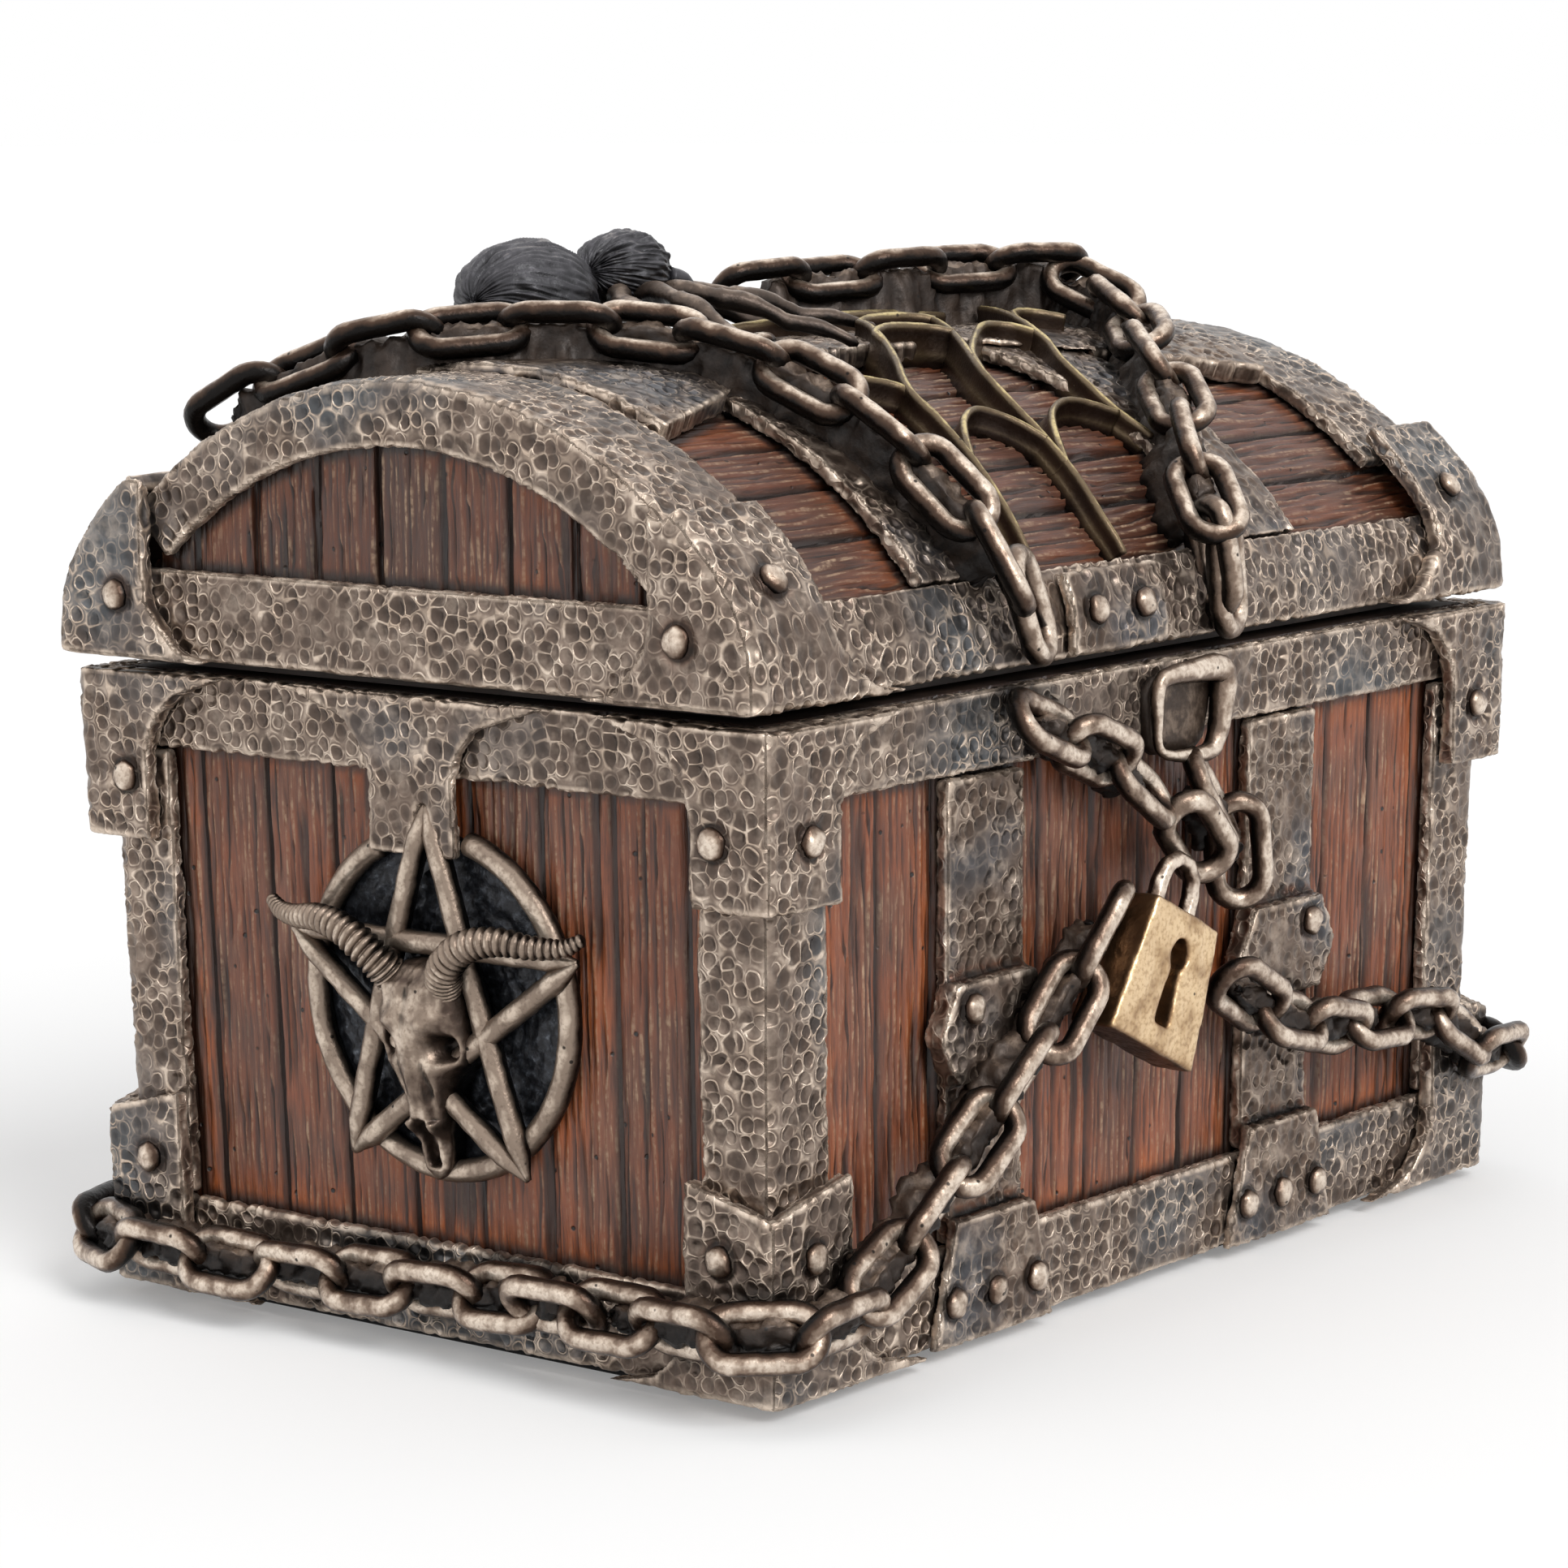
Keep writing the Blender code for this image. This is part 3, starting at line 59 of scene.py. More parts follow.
lidNodes = {name for name, obj in frame["nodes"].items() if obj["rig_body"] == "lid"}
print("frame loaded:", len(frame["nodes"]), "nodes")

nodeKinds = {
    "mix": ("ShaderNodeMix", {"data_type": "RGBA"}),
    "smoothRange": ("ShaderNodeMapRange", {"interpolation_type": "SMOOTHSTEP"}),
    "smootherRange": ("ShaderNodeMapRange", {"interpolation_type": "SMOOTHERSTEP"})}
for family, kinds in (
        ("ShaderNode", {
            "noise": "TexNoise", "cells": "TexVoronoi", "range": "MapRange", "split": "SeparateXYZ",
            "join": "CombineXYZ", "stored": "Attribute", "bump": "Bump", "place": "TexCoord",
            "light": "LightPath"}),
        ("GeometryNode", {
            "named": "InputNamedAttribute", "store": "StoreNamedAttribute", "move": "SetPosition",
            "blur": "BlurAttribute", "near": "Proximity", "object": "ObjectInfo", "copies": "InstanceOnPoints",
            "real": "RealizeInstances", "finish": "SetMaterial", "smooth": "SetShadeSmooth",
            "sweep": "CurveToMesh", "resample": "ResampleCurve", "circle": "CurvePrimitiveCircle",
            "ball": "MeshIcoSphere", "shape": "Transform", "position": "InputPosition",
            "normal": "InputNormal"})):
    nodeKinds.update({kind: (family + node, {}) for kind, node in kinds.items()})
for node, operations in (
        ("ShaderNodeMath", {
            "times": "MULTIPLY", "minus": "SUBTRACT", "plus": "ADD", "larger": "MAXIMUM", "over": "DIVIDE",
            "timesPlus": "MULTIPLY_ADD", "sine": "SINE", "size": "ABSOLUTE", "above": "GREATER_THAN",
            "sign": "SIGN"}),
        ("ShaderNodeVectorMath", {
            "scaled": "SCALE", "dot": "DOT_PRODUCT", "vectorMinus": "SUBTRACT", "vectorTimes": "MULTIPLY",
            "vectorTimesPlus": "MULTIPLY_ADD"})):
    nodeKinds.update({kind: (node, {"operation": operation}) for kind, operation in operations.items()})
# inputs that the values fill where these aren't the first ones, and outputs that aren't the first
sockets = {"mix": (0, 6, 7), "noise": (0, 2, 3, 4), "cells": (0, 2), "scaled": (0, 3), "bump": (0, 1, 3)}
outputs = {"mix": 2, "dot": 1}


def nodesOf(tree):
    def put(kind, *values, ins=None, out=None, **settings):
        # adds a node with its settings, fills its inputs with values, colours or links, gives back one output
        node, preset = nodeKinds[kind]
        made = tree.nodes.new(node)
        for key, value in {**preset, **settings}.items():
            setattr(made, key, value)
        for key, value in [*zip(sockets.get(kind, range(len(values))), values), *(ins or {}).items()]:
            if isinstance(value, bpy.types.NodeSocket):
                tree.links.new(value, made.inputs[key])
            elif value is not None:
                isColour = isinstance(value, str) and value.startswith("#")
                made.inputs[key].default_value = linear(value) if isColour else value
        return made.outputs[outputs.get(kind, 0) if out is None else out]

    return put


def linear(hexCode):
    parts = [int(hexCode[i:i + 2], 16) / 255 for i in (1, 3, 5)]
    return tuple(c / 12.92 if c <= 0.04045 else ((c + 0.055) / 1.055) ** 2.4 for c in parts) + (1.0,)


# Sizes of the chest that the new pieces share with its solids, mm
chest = {
    "length": 126.0, "width": 85.0, "height": 61.6, "taper": 0.03, "foot": 1.3, "halfX": 59.1, "halfY": 38.6,
    "wall": 4.2, "floor": 5.5, "bandOut": 1.8, "plateOut": 3.3, "bracketOut": 3.9, "ridgeOut": 2.6,
    "lidBottom": 63.0, "lidHalf": 39.0, "lidHalfX": 59.9, "crownTop": 88.7, "shoulderRadius": 12.2,
    "shoulderRise": 1.54, "setBack": 1.2, "corner": 2.0, "gap": 0.3, "strapLeft": -28.0, "strapRight": 22.5,
    "lidRim": 8.5}
shoulderY = chest["lidHalf"] - chest["shoulderRadius"]
shoulderZ = chest["lidBottom"] + chest["shoulderRise"]
crownFall = chest["crownTop"] - shoulderZ
crownRadius = (shoulderY ** 2 + crownFall ** 2 - chest["shoulderRadius"] ** 2) / (
    2 * (crownFall - chest["shoulderRadius"]))
crownCentre = chest["crownTop"] - crownRadius
crownAngle = math.atan2(shoulderY, shoulderZ - crownCentre)
crownRun = crownRadius * crownAngle
shoulderRun = crownRun + chest["shoulderRadius"] * (math.pi / 2 - crownAngle)
rimRun = shoulderRun + shoulderZ - chest["lidBottom"]
cornerRun = chest["corner"] * math.pi / 2
sideRuns = (2 * (chest["halfX"] - chest["corner"]) + cornerRun,
            2 * (chest["halfY"] - chest["corner"]) + cornerRun)
frontTurn, backTurn, leftTurn, rightTurn = 0.0, math.pi, -math.pi / 2, math.pi / 2


def taperAt(z):
    return 1 - chest["taper"] * (chest["height"] - z) / chest["height"]


def settle(points, onLid):
    # case pieces narrow towards the foot, lid pieces sit a little back
    points = np.array(points, float).reshape(-1, 3)
    if onLid:
        points[:, 1] += chest["setBack"]
    else:
        points[:, :2] *= taperAt(points[:, 2:3])
    return points


def face(turn, half, level, x=0, z=0):
    # a place on a side: local X along it, local Y up, local Z outwards
    front = Matrix(((1, 0, 0, 0), (0, 0, -1, 0), (0, 1, 0, 0), (0, 0, 0, 1)))
    seat = Matrix.Rotation(turn, 4, "Z") @ front @ Matrix.Translation((0, 0, half + level))
    return seat @ Matrix.Translation((x, z, 0))


def casePoint(run, z, off):
    # run goes round the case from the front left corner, positive along the front
    run = (run - cornerRun / 2) % (2 * sum(sideRuns))
    for side in range(4):
        spin = Matrix.Rotation(side * math.pi / 2, 3, "Z")
        depth = chest["halfY"] if side % 2 == 0 else chest["halfX"]
        straight = sideRuns[side % 2] - cornerRun
        if run < straight:
            out = spin @ Vector((0, -1, 0))
            spot = spin @ Vector((run - straight / 2, -depth - off, 0))
            break
        run -= straight
        if run < cornerRun:
            angle = run / chest["corner"]
            out = spin @ Vector((math.sin(angle), -math.cos(angle), 0))
            spot = spin @ Vector((straight / 2, chest["corner"] - depth, 0)) + out * (chest["corner"] + off)
            break
        run -= cornerRun
    return Vector((spot.x * taperAt(z), spot.y * taperAt(z), z)), out


def lidSection(run, off):
    # run along the planks from the crown, negative towards the front
    side, t = (1 if run >= 0 else -1), abs(run)
    if t <= crownRun:
        a = t / crownRadius
        y, z = math.sin(a) * (crownRadius + off), crownCentre + math.cos(a) * (crownRadius + off)
    elif t <= shoulderRun:
        a = crownAngle + (t - crownRun) / chest["shoulderRadius"]
        y = shoulderY + math.sin(a) * (chest["shoulderRadius"] + off)
        z = shoulderZ + math.cos(a) * (chest["shoulderRadius"] + off)
    else:
        a = math.pi / 2
        y, z = chest["lidHalf"] + off, shoulderZ - (t - shoulderRun)
    return side * y, z, side * a


def lidPoint(x, run, off):
    y, z, a = lidSection(run, off)
    return Vector((x, y, z)), Vector((0, math.sin(a), math.cos(a)))


def runAtHeight(z, off):
    low, high = 0.0, rimRun
    for _ in range(40):
        mid = (low + high) / 2
        low, high = (mid, high) if lidSection(mid, off)[1] > z else (low, mid)
    return low


def placed(name, data):
    obj = bpy.data.objects.new(name, data)
    bpy.context.scene.collection.objects.link(obj)
    return obj


def meshObject(name, points, faces):
    # points in mm; the object sits at the origin with its place in its mesh
    mesh = bpy.data.meshes.new(name)
    mesh.from_pydata([tuple(p) for p in np.asarray(points, float) * mm], [], faces)
    mesh.polygons.foreach_set("use_smooth", [True] * len(mesh.polygons))
    mesh.update()
    return placed(name, mesh)


def setField(obj, label, values, kind=None):
    # a point attribute from an array, replacing an old one
    kind = kind or ("FLOAT_VECTOR" if values.ndim == 2 else "FLOAT")
    old = obj.data.attributes.get(label)
    if old:
        obj.data.attributes.remove(old)
    layer = obj.data.attributes.new(label, kind, "POINT")
    layer.data.foreach_set("vector" if kind == "FLOAT_VECTOR" else "value", np.ravel(values).astype(np.float32))


def pointCloud(name, points, turns=(), outs=()):
    # loose vertices; a tree sets a piece on each, turned and facing outward as they say
    obj = meshObject(name, points, [])
    if len(turns):
        setField(obj, "turn", [tuple(turn) for turn in turns], "QUATERNION")
        setField(obj, "outward", outs, "FLOAT_VECTOR")
    return obj


def castCopy(name, node):
    # the mesh of a CAD node with its loose triangles merged
    mesh = frame["nodes"][node].data.copy()
    mesh.materials.clear()
    bm = bmesh.new()
    bm.from_mesh(mesh)
    bmesh.ops.remove_doubles(bm, verts=bm.verts, dist=1e-6)
    bm.to_mesh(mesh)
    bm.free()
    mesh.name = name
    return placed(name, mesh)


def newTree(name, inputs):
    # inputs are (label, socket kind, default)
    tree = bpy.data.node_groups.new(name, "GeometryNodeTree")
    tree.interface.new_socket("Geometry", in_out="INPUT", socket_type="NodeSocketGeometry")
    for label, kind, value in inputs:
        socket = tree.interface.new_socket(label, in_out="INPUT", socket_type="NodeSocket" + kind)
        if value is not None:
            socket.default_value = value
    tree.interface.new_socket("Geometry", in_out="OUTPUT", socket_type="NodeSocketGeometry")
    start = tree.nodes.new("NodeGroupInput")
    return nodesOf(tree), {socket.name: socket for socket in start.outputs if socket.name}


def closeTree(put, geometry, metal):
    # every tree ends in real geometry that carries its material
    done = put("finish", put("smooth", put("real", geometry)), ins={"Material": metal})
    tree = done.id_data
    tree.links.new(done, tree.nodes.new("NodeGroupOutput").inputs[0])
    return tree


def worked(obj, tree, values):
    # runs a tree on an object and keeps the result as its plain mesh
    if tree:
        modifier = obj.modifiers.new(tree.name, "NODES")
        modifier.node_group = tree
        for item in tree.interface.items_tree:
            if item.in_out == "INPUT" and item.name in values:
                modifier[item.identifier] = values[item.name]
    graph = bpy.context.evaluated_depsgraph_get()
    mesh = bpy.data.meshes.new_from_object(obj.evaluated_get(graph), preserve_all_data_layers=True,
                                           depsgraph=graph)
    obj.modifiers.clear()
    obj.data = mesh
    return obj


def inMm(put, spot):
    return put("scaled", spot, 1 / mm)


def pushed(put, body, push):
    # moves the surface along its normals
    return put("move", body, ins={"Offset": put("scaled", put("normal"), push)})


def lumps(put, spot, size, detail, amount):
    # soft unevenness of the surface, as much out as in
    lump = put("noise", spot, 1 / size, detail, 0.5)
    push = put("times", put("minus", lump, 0.5), amount)
    return put("times", push, 2.0)


def withFacing(put, body, outward):
    # stores how far each point looks outward, for the rubbed crests, the painted shade on the sides facing away
    # and the painted highlight on the faces looking out
    return put("store", body, ins={"Name": "crest", "Value": put("dot", put("normal"), outward)})


def withEdge(put, body, reach):
    # stores how far each point stands out of its blurred surroundings: above 0 on edges, below 0 in hollows
    here = put("position")
    away = put("vectorMinus", here, put("blur", here, reach, data_type="FLOAT_VECTOR"))
    edge = put("times", put("dot", away, put("normal")), 1 / mm)
    return put("store", body, ins={"Name": "edge", "Value": edge})


def withDistances(put, body, rows):
    # stores the distance to each helper, as (label, object, kind of element)
    for label, source, kind in rows:
        target = put("object", source, out=4)
        far = put("times", put("near", target, out=1, target_element=kind), 1 / mm)
        body = put("store", body, ins={"Name": label, "Value": far})
    return body


def remeshed(obj, voxel, smoothing):
    remesh = obj.modifiers.new("castSkin", "REMESH")
    remesh.mode = "VOXEL"
    remesh.voxel_size = voxel * mm
    soften = obj.modifiers.new("soften", "SMOOTH")
    soften.factor = 0.5
    soften.iterations = smoothing
    return worked(obj, None, {})


def hand(obj, body, slot, *nodes):
    # gives a finished piece to the frame
    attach(obj, body)
    if nodes:
        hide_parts(*nodes)
    return obj


# fields that the reliefs and the materials share; sizes and places are in mm
hammer = {"cell": 1.62, "random": 0.86, "warp": 0.36, "warpGrain": 2.2, "rimWidth": 0.13, "zone": 8.0,
          "rimGrain": 2.3, "breakGrain": 1.5, "cornerFrom": 0.54, "cornerTo": 0.76, "ring": (0.40, 0.50),
          "ringWidth": 0.085}


def hammerField(put, sheet):
    # hammer blows on the unrolled sheet: round bowls with thin rims, metal left standing in the corners
    shake = put("noise", sheet, 1 / hammer["warpGrain"], 1.0, 0.5, out=1)
    shake = put("vectorMinus", shake, (0.5,) * 3)
    spot = put("vectorTimesPlus", shake, (hammer["warp"] * 2,) * 3, sheet)
    near, next_ = (put("cells", spot, 1 / hammer["cell"], ins={"Randomness": hammer["random"]}, feature=feature,
                       voronoi_dimensions="2D") for feature in ("F1", "F2"))
    gap = put("minus", next_, near)
    thick = put("range", put("noise", sheet, 1 / hammer["rimGrain"], 1.0, 0.5), 0.3, 0.7, 0.55, 1.5)
    share = put("over", gap, put("times", thick, hammer["rimWidth"]))
    rim = put("smoothRange", share, 1.15, 0.35, 0.0, 1.0)
    corner = put("smoothRange", near, hammer["cornerFrom"], hammer["cornerTo"], 0.0, 1.0)
    rim = put("larger", rim, corner)
    tone = put("split", near.node.outputs["Color"])
    round_ = put("size", put("minus", near, put("range", tone, 0.0, 1.0, *hammer["ring"])))
    round_ = put("smoothRange", round_, hammer["ringWidth"], 0.02, 0.0, 1.0)
    straight = put("range", tone, 0.30, 0.42, 1.0, 0.45)
    rim = put("larger", put("times", rim, straight), put("times", round_,
                                                         put("range", tone, 0.30, 0.42, 0.0, 1.0)))
    broken = put("range", put("noise", sheet, 1 / hammer["breakGrain"], 1.0, 0.5), 0.38, 0.52, 0.22, 1.0)
    rim = put("times", rim, broken)
    zone = put("noise", sheet, 1 / hammer["zone"], 2.0, 0.5)
    zone = put("smoothRange", zone, 0.38, 0.52, 0.25, 1.0)
    bowl = put("smootherRange", near, 0.52, 0.05, 0.0, 1.0)
    return {"bowl": bowl, "rim": rim, "zone": zone, "tone": tone}


grain = {"pitch": 0.95, "sway": 2.6, "lidSway": 4.2, "swaySize": (7.0, 30.0), "fadeSize": (1.7, 11.0, 5.0),
         "streakSize": (0.34, 5.5), "crackSize": (1.6, 26.0), "scoreSize": (2.3, 9.0, 9.0),
         "firstLidPlank": 120.0}


def grainField(put, board):
    # carved grain: lines along the plank that drift and fade, wilder on the lid, and finer streaks
    across, along, plank = (put("split", board, out=k) for k in range(3))
    far = put("timesPlus", plank, 41.7, along)

    def drawnOut(wide, long, *shift):
        # a place for noise that runs long along the planks and differs from plank to plank
        row = put("plus", plank, *shift) if shift else plank
        return put("join", put("times", across, 1 / wide), put("times", far, 1 / long), row)

    sway = put("noise", drawnOut(*grain["swaySize"]), 1.0, 2.0, 0.5)
    onLid = put("above", plank, grain["firstLidPlank"])
    reach = put("timesPlus", onLid, grain["lidSway"], grain["sway"])
    phase = put("timesPlus", sway, reach, put("times", across, 1 / grain["pitch"]))
    wave = put("sine", put("times", phase, math.tau))
    fade = put("noise", drawnOut(*grain["fadeSize"]), 1.0, 1.0, 0.5)
    fade = put("range", fade, 0.36, 0.6, 0.15, 1.0)
    lines = put("plus", put("times", put("times", wave, 0.5), fade), 0.5)
    streak = put("noise", drawnOut(*grain["streakSize"]), 1.0, 3.0, 0.6)
    streak = put("range", streak, 0.3, 0.7, 0.0, 1.0)
    ridge = put("plus", put("times", lines, 0.45), put("times", streak, 0.55))
    crack = put("noise", drawnOut(*grain["crackSize"]), 1.0, 1.0, 0.5)
    crack = put("smoothRange", crack, 0.60, 0.70, 0.0, 1.0)
    score = put("sine", put("times", phase, math.pi))
    score = put("smoothRange", score, 0.84, 0.98, 0.0, 1.0)
    scoreFade = put("noise", drawnOut(*grain["scoreSize"]), 1.0, 1.0, 0.5)
    scoreFade = put("range", scoreFade, 0.40, 0.54, 0.0, 1.0)
    crack = put("larger", crack, put("times", score, scoreFade))
    return {"ridge": ridge, "crack": crack, "plank": plank, "onLid": onLid}


# materials
def newMaterial(name):
    stuff = bpy.data.materials.new(name)
    stuff.use_nodes = True
    put = nodesOf(stuff.node_tree)
    shader = stuff.node_tree.nodes["Principled BSDF"]
    return stuff, put, shader, inMm(put, put("place", out=3))


def link(shader, **links):
    names = {"colour": "Base Color", "rough": "Roughness", "normal": "Normal", "glow": "Emission Strength"}
    for key, socket in links.items():
        shader.id_data.links.new(socket, shader.inputs[names[key]])


# the darkest colour is dark paint and painted shade in the hollows; the brightest is the painted glint on the
# rims
hammeredIron = {
    "deep": "#5f5148", "cool": "#54575a", "pale": "#bfa995", "bright": "#ecdccb", "darkWashAndShade": "#17120f",
    "rust": "#7a4426", "metallic": 0.75, "roughBowl": 0.33, "roughRim": 0.42, "coolZone": 24.0, "blot": 2.6,
    "grit": 0.45, "wearFrom": 0.03, "wearTo": 0.10, "bumpMm": 0.14, "rims": 1.0, "haze": 0.18}
wornIron = dict(hammeredIron, deep="#5a4b41", cool="#505155", rims=0.5, haze=0.28, coolZone=14.0)


def hammeredMaterial(name, looks):
    # cold cast metal, brushed dark and rubbed pale where it stands proud: satin bowls and chalky rims, with
    # painted shade in the bowls and hollows and painted glints on the rims
    stuff, put, shader, place = newMaterial(name)
    field = hammerField(put, put("stored", attribute_name="sheet", out=1))
    edge, chain, rivet = (put("stored", attribute_name=label, out=2) for label in ("edge", "chain", "rivet"))
    grit = put("noise", place, 1 / looks["grit"], 2.0, 0.6)
    blot = put("noise", place, 1 / looks["blot"], 3.0, 0.6)
    coolness = put("noise", place, 1 / looks["coolZone"], 2.0, 0.5)
    coolness = put("range", coolness, 0.48, 0.64, 0.0, 0.9)
    colour = put("mix", coolness, looks["deep"], looks["cool"])
    # each bowl has its own depth of tone, and painted shade makes it darkest at its bottom
    tone = put("range", field["tone"], 0.0, 1.0, 0.78, 1.3)
    tone = put("times", tone, put("range", blot, 0.3, 0.7, 0.78, 1.22))
    tone = put("times", tone, put("range", field["bowl"], 0.0, 1.0, 1.12, 0.82))
    colour = put("mix", 1.0, colour, put("join", tone, tone, tone), blend_type="MULTIPLY")
    # rubbed rims and edges, broken up softly
    rim = put("times", put("times", field["rim"], field["zone"]), looks["rims"])
    worn = put("range", edge, looks["wearFrom"], looks["wearTo"], 0.0, 0.85)
    worn = put("times", worn, put("range", blot, 0.38, 0.56, 0.25, 1.0))
    haze = put("range", blot, 0.5, 0.72, 0.0, looks["haze"])
    rubbed = put("larger", put("larger", rim, worn), haze)
    rubbed = put("times", rubbed, put("range", grit, 0.32, 0.5, 0.68, 1.0))
    colour = put("mix", rubbed, colour, looks["pale"])
    # painted glint: the highlight colour laid on the brightest rubbed rims
    glint = put("times", put("range", blot, 0.42, 0.62, 0.15, 0.75), rubbed)
    colour = put("mix", glint, colour, looks["bright"])
    # dark paint left in the low places, with painted shade there, near the chains and in the groove round each
    # rivet; rust tones beside the low places
    low = put("range", edge, -0.02, -0.10, 0.0, 1.0)
    rustShare = put("times", put("range", edge, 0.0, -0.05, 0.0, 0.7), put("range", blot, 0.42, 0.6, 0.0, 1.0))
    colour = put("mix", rustShare, colour, looks["rust"])
    washAndShadeNearChain = put("smoothRange", chain, 0.2, 2.6, 0.9, 0.0)
    ring = put("range", put("minus", rivet, 1.75), 0.35, 0.0, 0.0, 0.85)
    colour = put("mix", put("larger", put("larger", low, washAndShadeNearChain), ring), colour, looks["darkWashAndShade"])
    rough = put("range", rubbed, 0.0, 1.0, looks["roughBowl"], looks["roughRim"])
    rough = put("plus", put("range", grit, 0.3, 0.7, -0.04, 0.06), rough)
    height = put("timesPlus", rim, 0.8, put("times", grit, 0.2))
    dish = put("times", put("times", field["bowl"], field["zone"]), 0.8)
    height = put("minus", height, dish)
    bump = put("bump", 0.8, looks["bumpMm"] * mm, height)
    shader.inputs["Metallic"].default_value = looks["metallic"]
    link(shader, colour=colour, rough=rough, normal=bump)
    return stuff


# the groove colour fills the cuts and also the painted shadow beside the plates and the painted shade round the
# chains
paintedBoards = {
    "groove": "#140c09", "dark": "#38211a", "base": "#774a36", "red": "#8a4d31", "orange": "#a8561f",
    "rubbed": "#bda083", "hole": "#120b08", "patch": 8.0, "speck": 0.7, "holes": 3.2, "lidShade": 0.5,
    "roughness": (0.36, 0.54), "bumpMm": 0.14}


def boardMaterial(name, looks):
    # resin painted as old red-brown planks: pale where the carved ridges are rubbed, dark in the cuts, with
    # painted shadow beside the plates and painted shade round the chains
    stuff, put, shader, place = newMaterial(name)
    joint, plate, chain = (put("stored", attribute_name=label, out=2) for label in ("joint", "plate", "chain"))
    field = grainField(put, put("stored", attribute_name="board", out=1))
    plankTone = put("split", put("cells", put("join", field["plank"]), 1.7, feature="F1", out=1))
    patch = put("noise", place, 1 / looks["patch"], 2.0, 0.5)
    speck = put("noise", place, 1 / looks["speck"], 2.0, 0.55)
    colour = put("mix", put("range", patch, 0.4, 0.6, 0.0, 1.0), looks["base"], looks["red"])
    edgeGlow = put("range", plate, 0.6, 3.6, 0.8, 0.0)
    edgeGlow = put("times", edgeGlow, put("range", patch, 0.38, 0.6, 0.15, 1.0))
    colour = put("mix", edgeGlow, colour, looks["orange"])
    shade = put("range", plankTone, 0.0, 1.0, 0.8, 1.15)
    shade = put("times", shade, put("range", field["onLid"], 0.0, 1.0, 1.0, looks["lidShade"]))
    colour = put("mix", 1.0, colour, put("join", shade, shade, shade), blend_type="MULTIPLY")
    valley = put("range", field["ridge"], 0.50, 0.2, 0.0, 0.75)
    colour = put("mix", valley, colour, looks["dark"])
    crest = put("range", field["ridge"], 0.55, 0.74, 0.0, 1.0)
    rub = put("times", crest, put("range", speck, 0.38, 0.62, 0.1, 1.0))
    rub = put("times", rub, put("range", patch, 0.35, 0.65, 0.7, 0.3))
    colour = put("mix", rub, colour, looks["rubbed"])
    cut = put("smoothRange", joint, 0.8, 0.2, 0.0, 0.9)
    crack = put("times", field["crack"], 0.8)
    # painted shadow beside the plates; near the chains dark paint and painted shade
    paintedPlateShadow = put("smoothRange", plate, 1.3, 0.3, 0.0, 0.94)
    chainWashAndShade = put("smoothRange", chain, 3.5, 0.4, 0.0, 0.88)
    darkWashAndShade = put("larger", put("larger", cut, crack), paintedPlateShadow)
    darkWashAndShade = put("larger", darkWashAndShade, chainWashAndShade)
    colour = put("mix", darkWashAndShade, colour, looks["groove"])
    pits = put("cells", place, 1 / looks["holes"], feature="F1")
    pits = put("range", pits, 0.09, 0.05, 0.0, 1.0)
    colour = put("mix", pits, colour, looks["hole"])
    rough = put("range", field["ridge"], 0.0, 1.0, *looks["roughness"])
    height = put("timesPlus", field["ridge"], 0.8, put("times", speck, 0.25))
    height = put("minus", height, pits)
    bump = put("bump", 0.8, looks["bumpMm"] * mm, height)
    shader.inputs["Specular IOR Level"].default_value = 0.6
    link(shader, colour=colour, rough=rough, normal=bump)
    return stuff


# in the cast looks, under is painted shade, near black, on the sides facing away and in the hollows, and the
# colour of the pinholes; crest is rubbed pale, partly painted highlight; the brightest colour is the painted
# highlight
rubbedBronze = {
    "under": "#0f0b09", "flank": "#4d3a2e", "crest": "#ae9987", "bright": "#efe0cf", "metallic": 0.74,
    "rough": 0.32, "flankFrom": 0.0, "flankTo": 0.6, "crestFrom": 0.58, "crestTo": 0.95, "grain": 2.2}
agedBrass = {
    "under": "#241810", "flank": "#70533a", "crest": "#bb9a73", "bright": "#ecd0a8", "metallic": 0.85,
    "rough": 0.33, "flankFrom": -0.1, "flankTo": 0.5, "crestFrom": 0.45, "crestTo": 0.95, "grain": 3.6,
    "edgeWear": 0.9}
dullGilt = {
    "under": "#2a1d15", "flank": "#4d3a2a", "crest": "#a08d6a", "bright": "#dcc88e", "metallic": 0.6,
    "rough": 0.38, "flankFrom": -0.15, "flankTo": 0.8, "crestFrom": 0.76, "crestTo": 1.0, "grain": 5.0}
charcoalPaint = {
    "under": "#0b0b0d", "flank": "#302f33", "crest": "#555358", "bright": "#8a8481", "metallic": 0.3,
    "rough": 0.4, "flankFrom": -0.6, "flankTo": 0.4, "crestFrom": 0.45, "crestTo": 1.05, "grain": 1.1}
umberCast = {
    "under": "#120e0c", "flank": "#372c26", "crest": "#76665a", "bright": "#9f8d7e", "metallic": 0.6,
    "rough": 0.38, "flankFrom": -0.2, "flankTo": 0.5, "crestFrom": 0.45, "crestTo": 0.95, "grain": 1.6}
darkEnamel = {
    "under": "#0d0d10", "flank": "#25262a", "crest": "#474b52", "bright": "#8b9199", "metallic": 0.5,
    "rough": 0.34, "flankFrom": 0.6, "flankTo": 1.0, "crestFrom": 0.95, "crestTo": 1.3, "grain": 0.7}
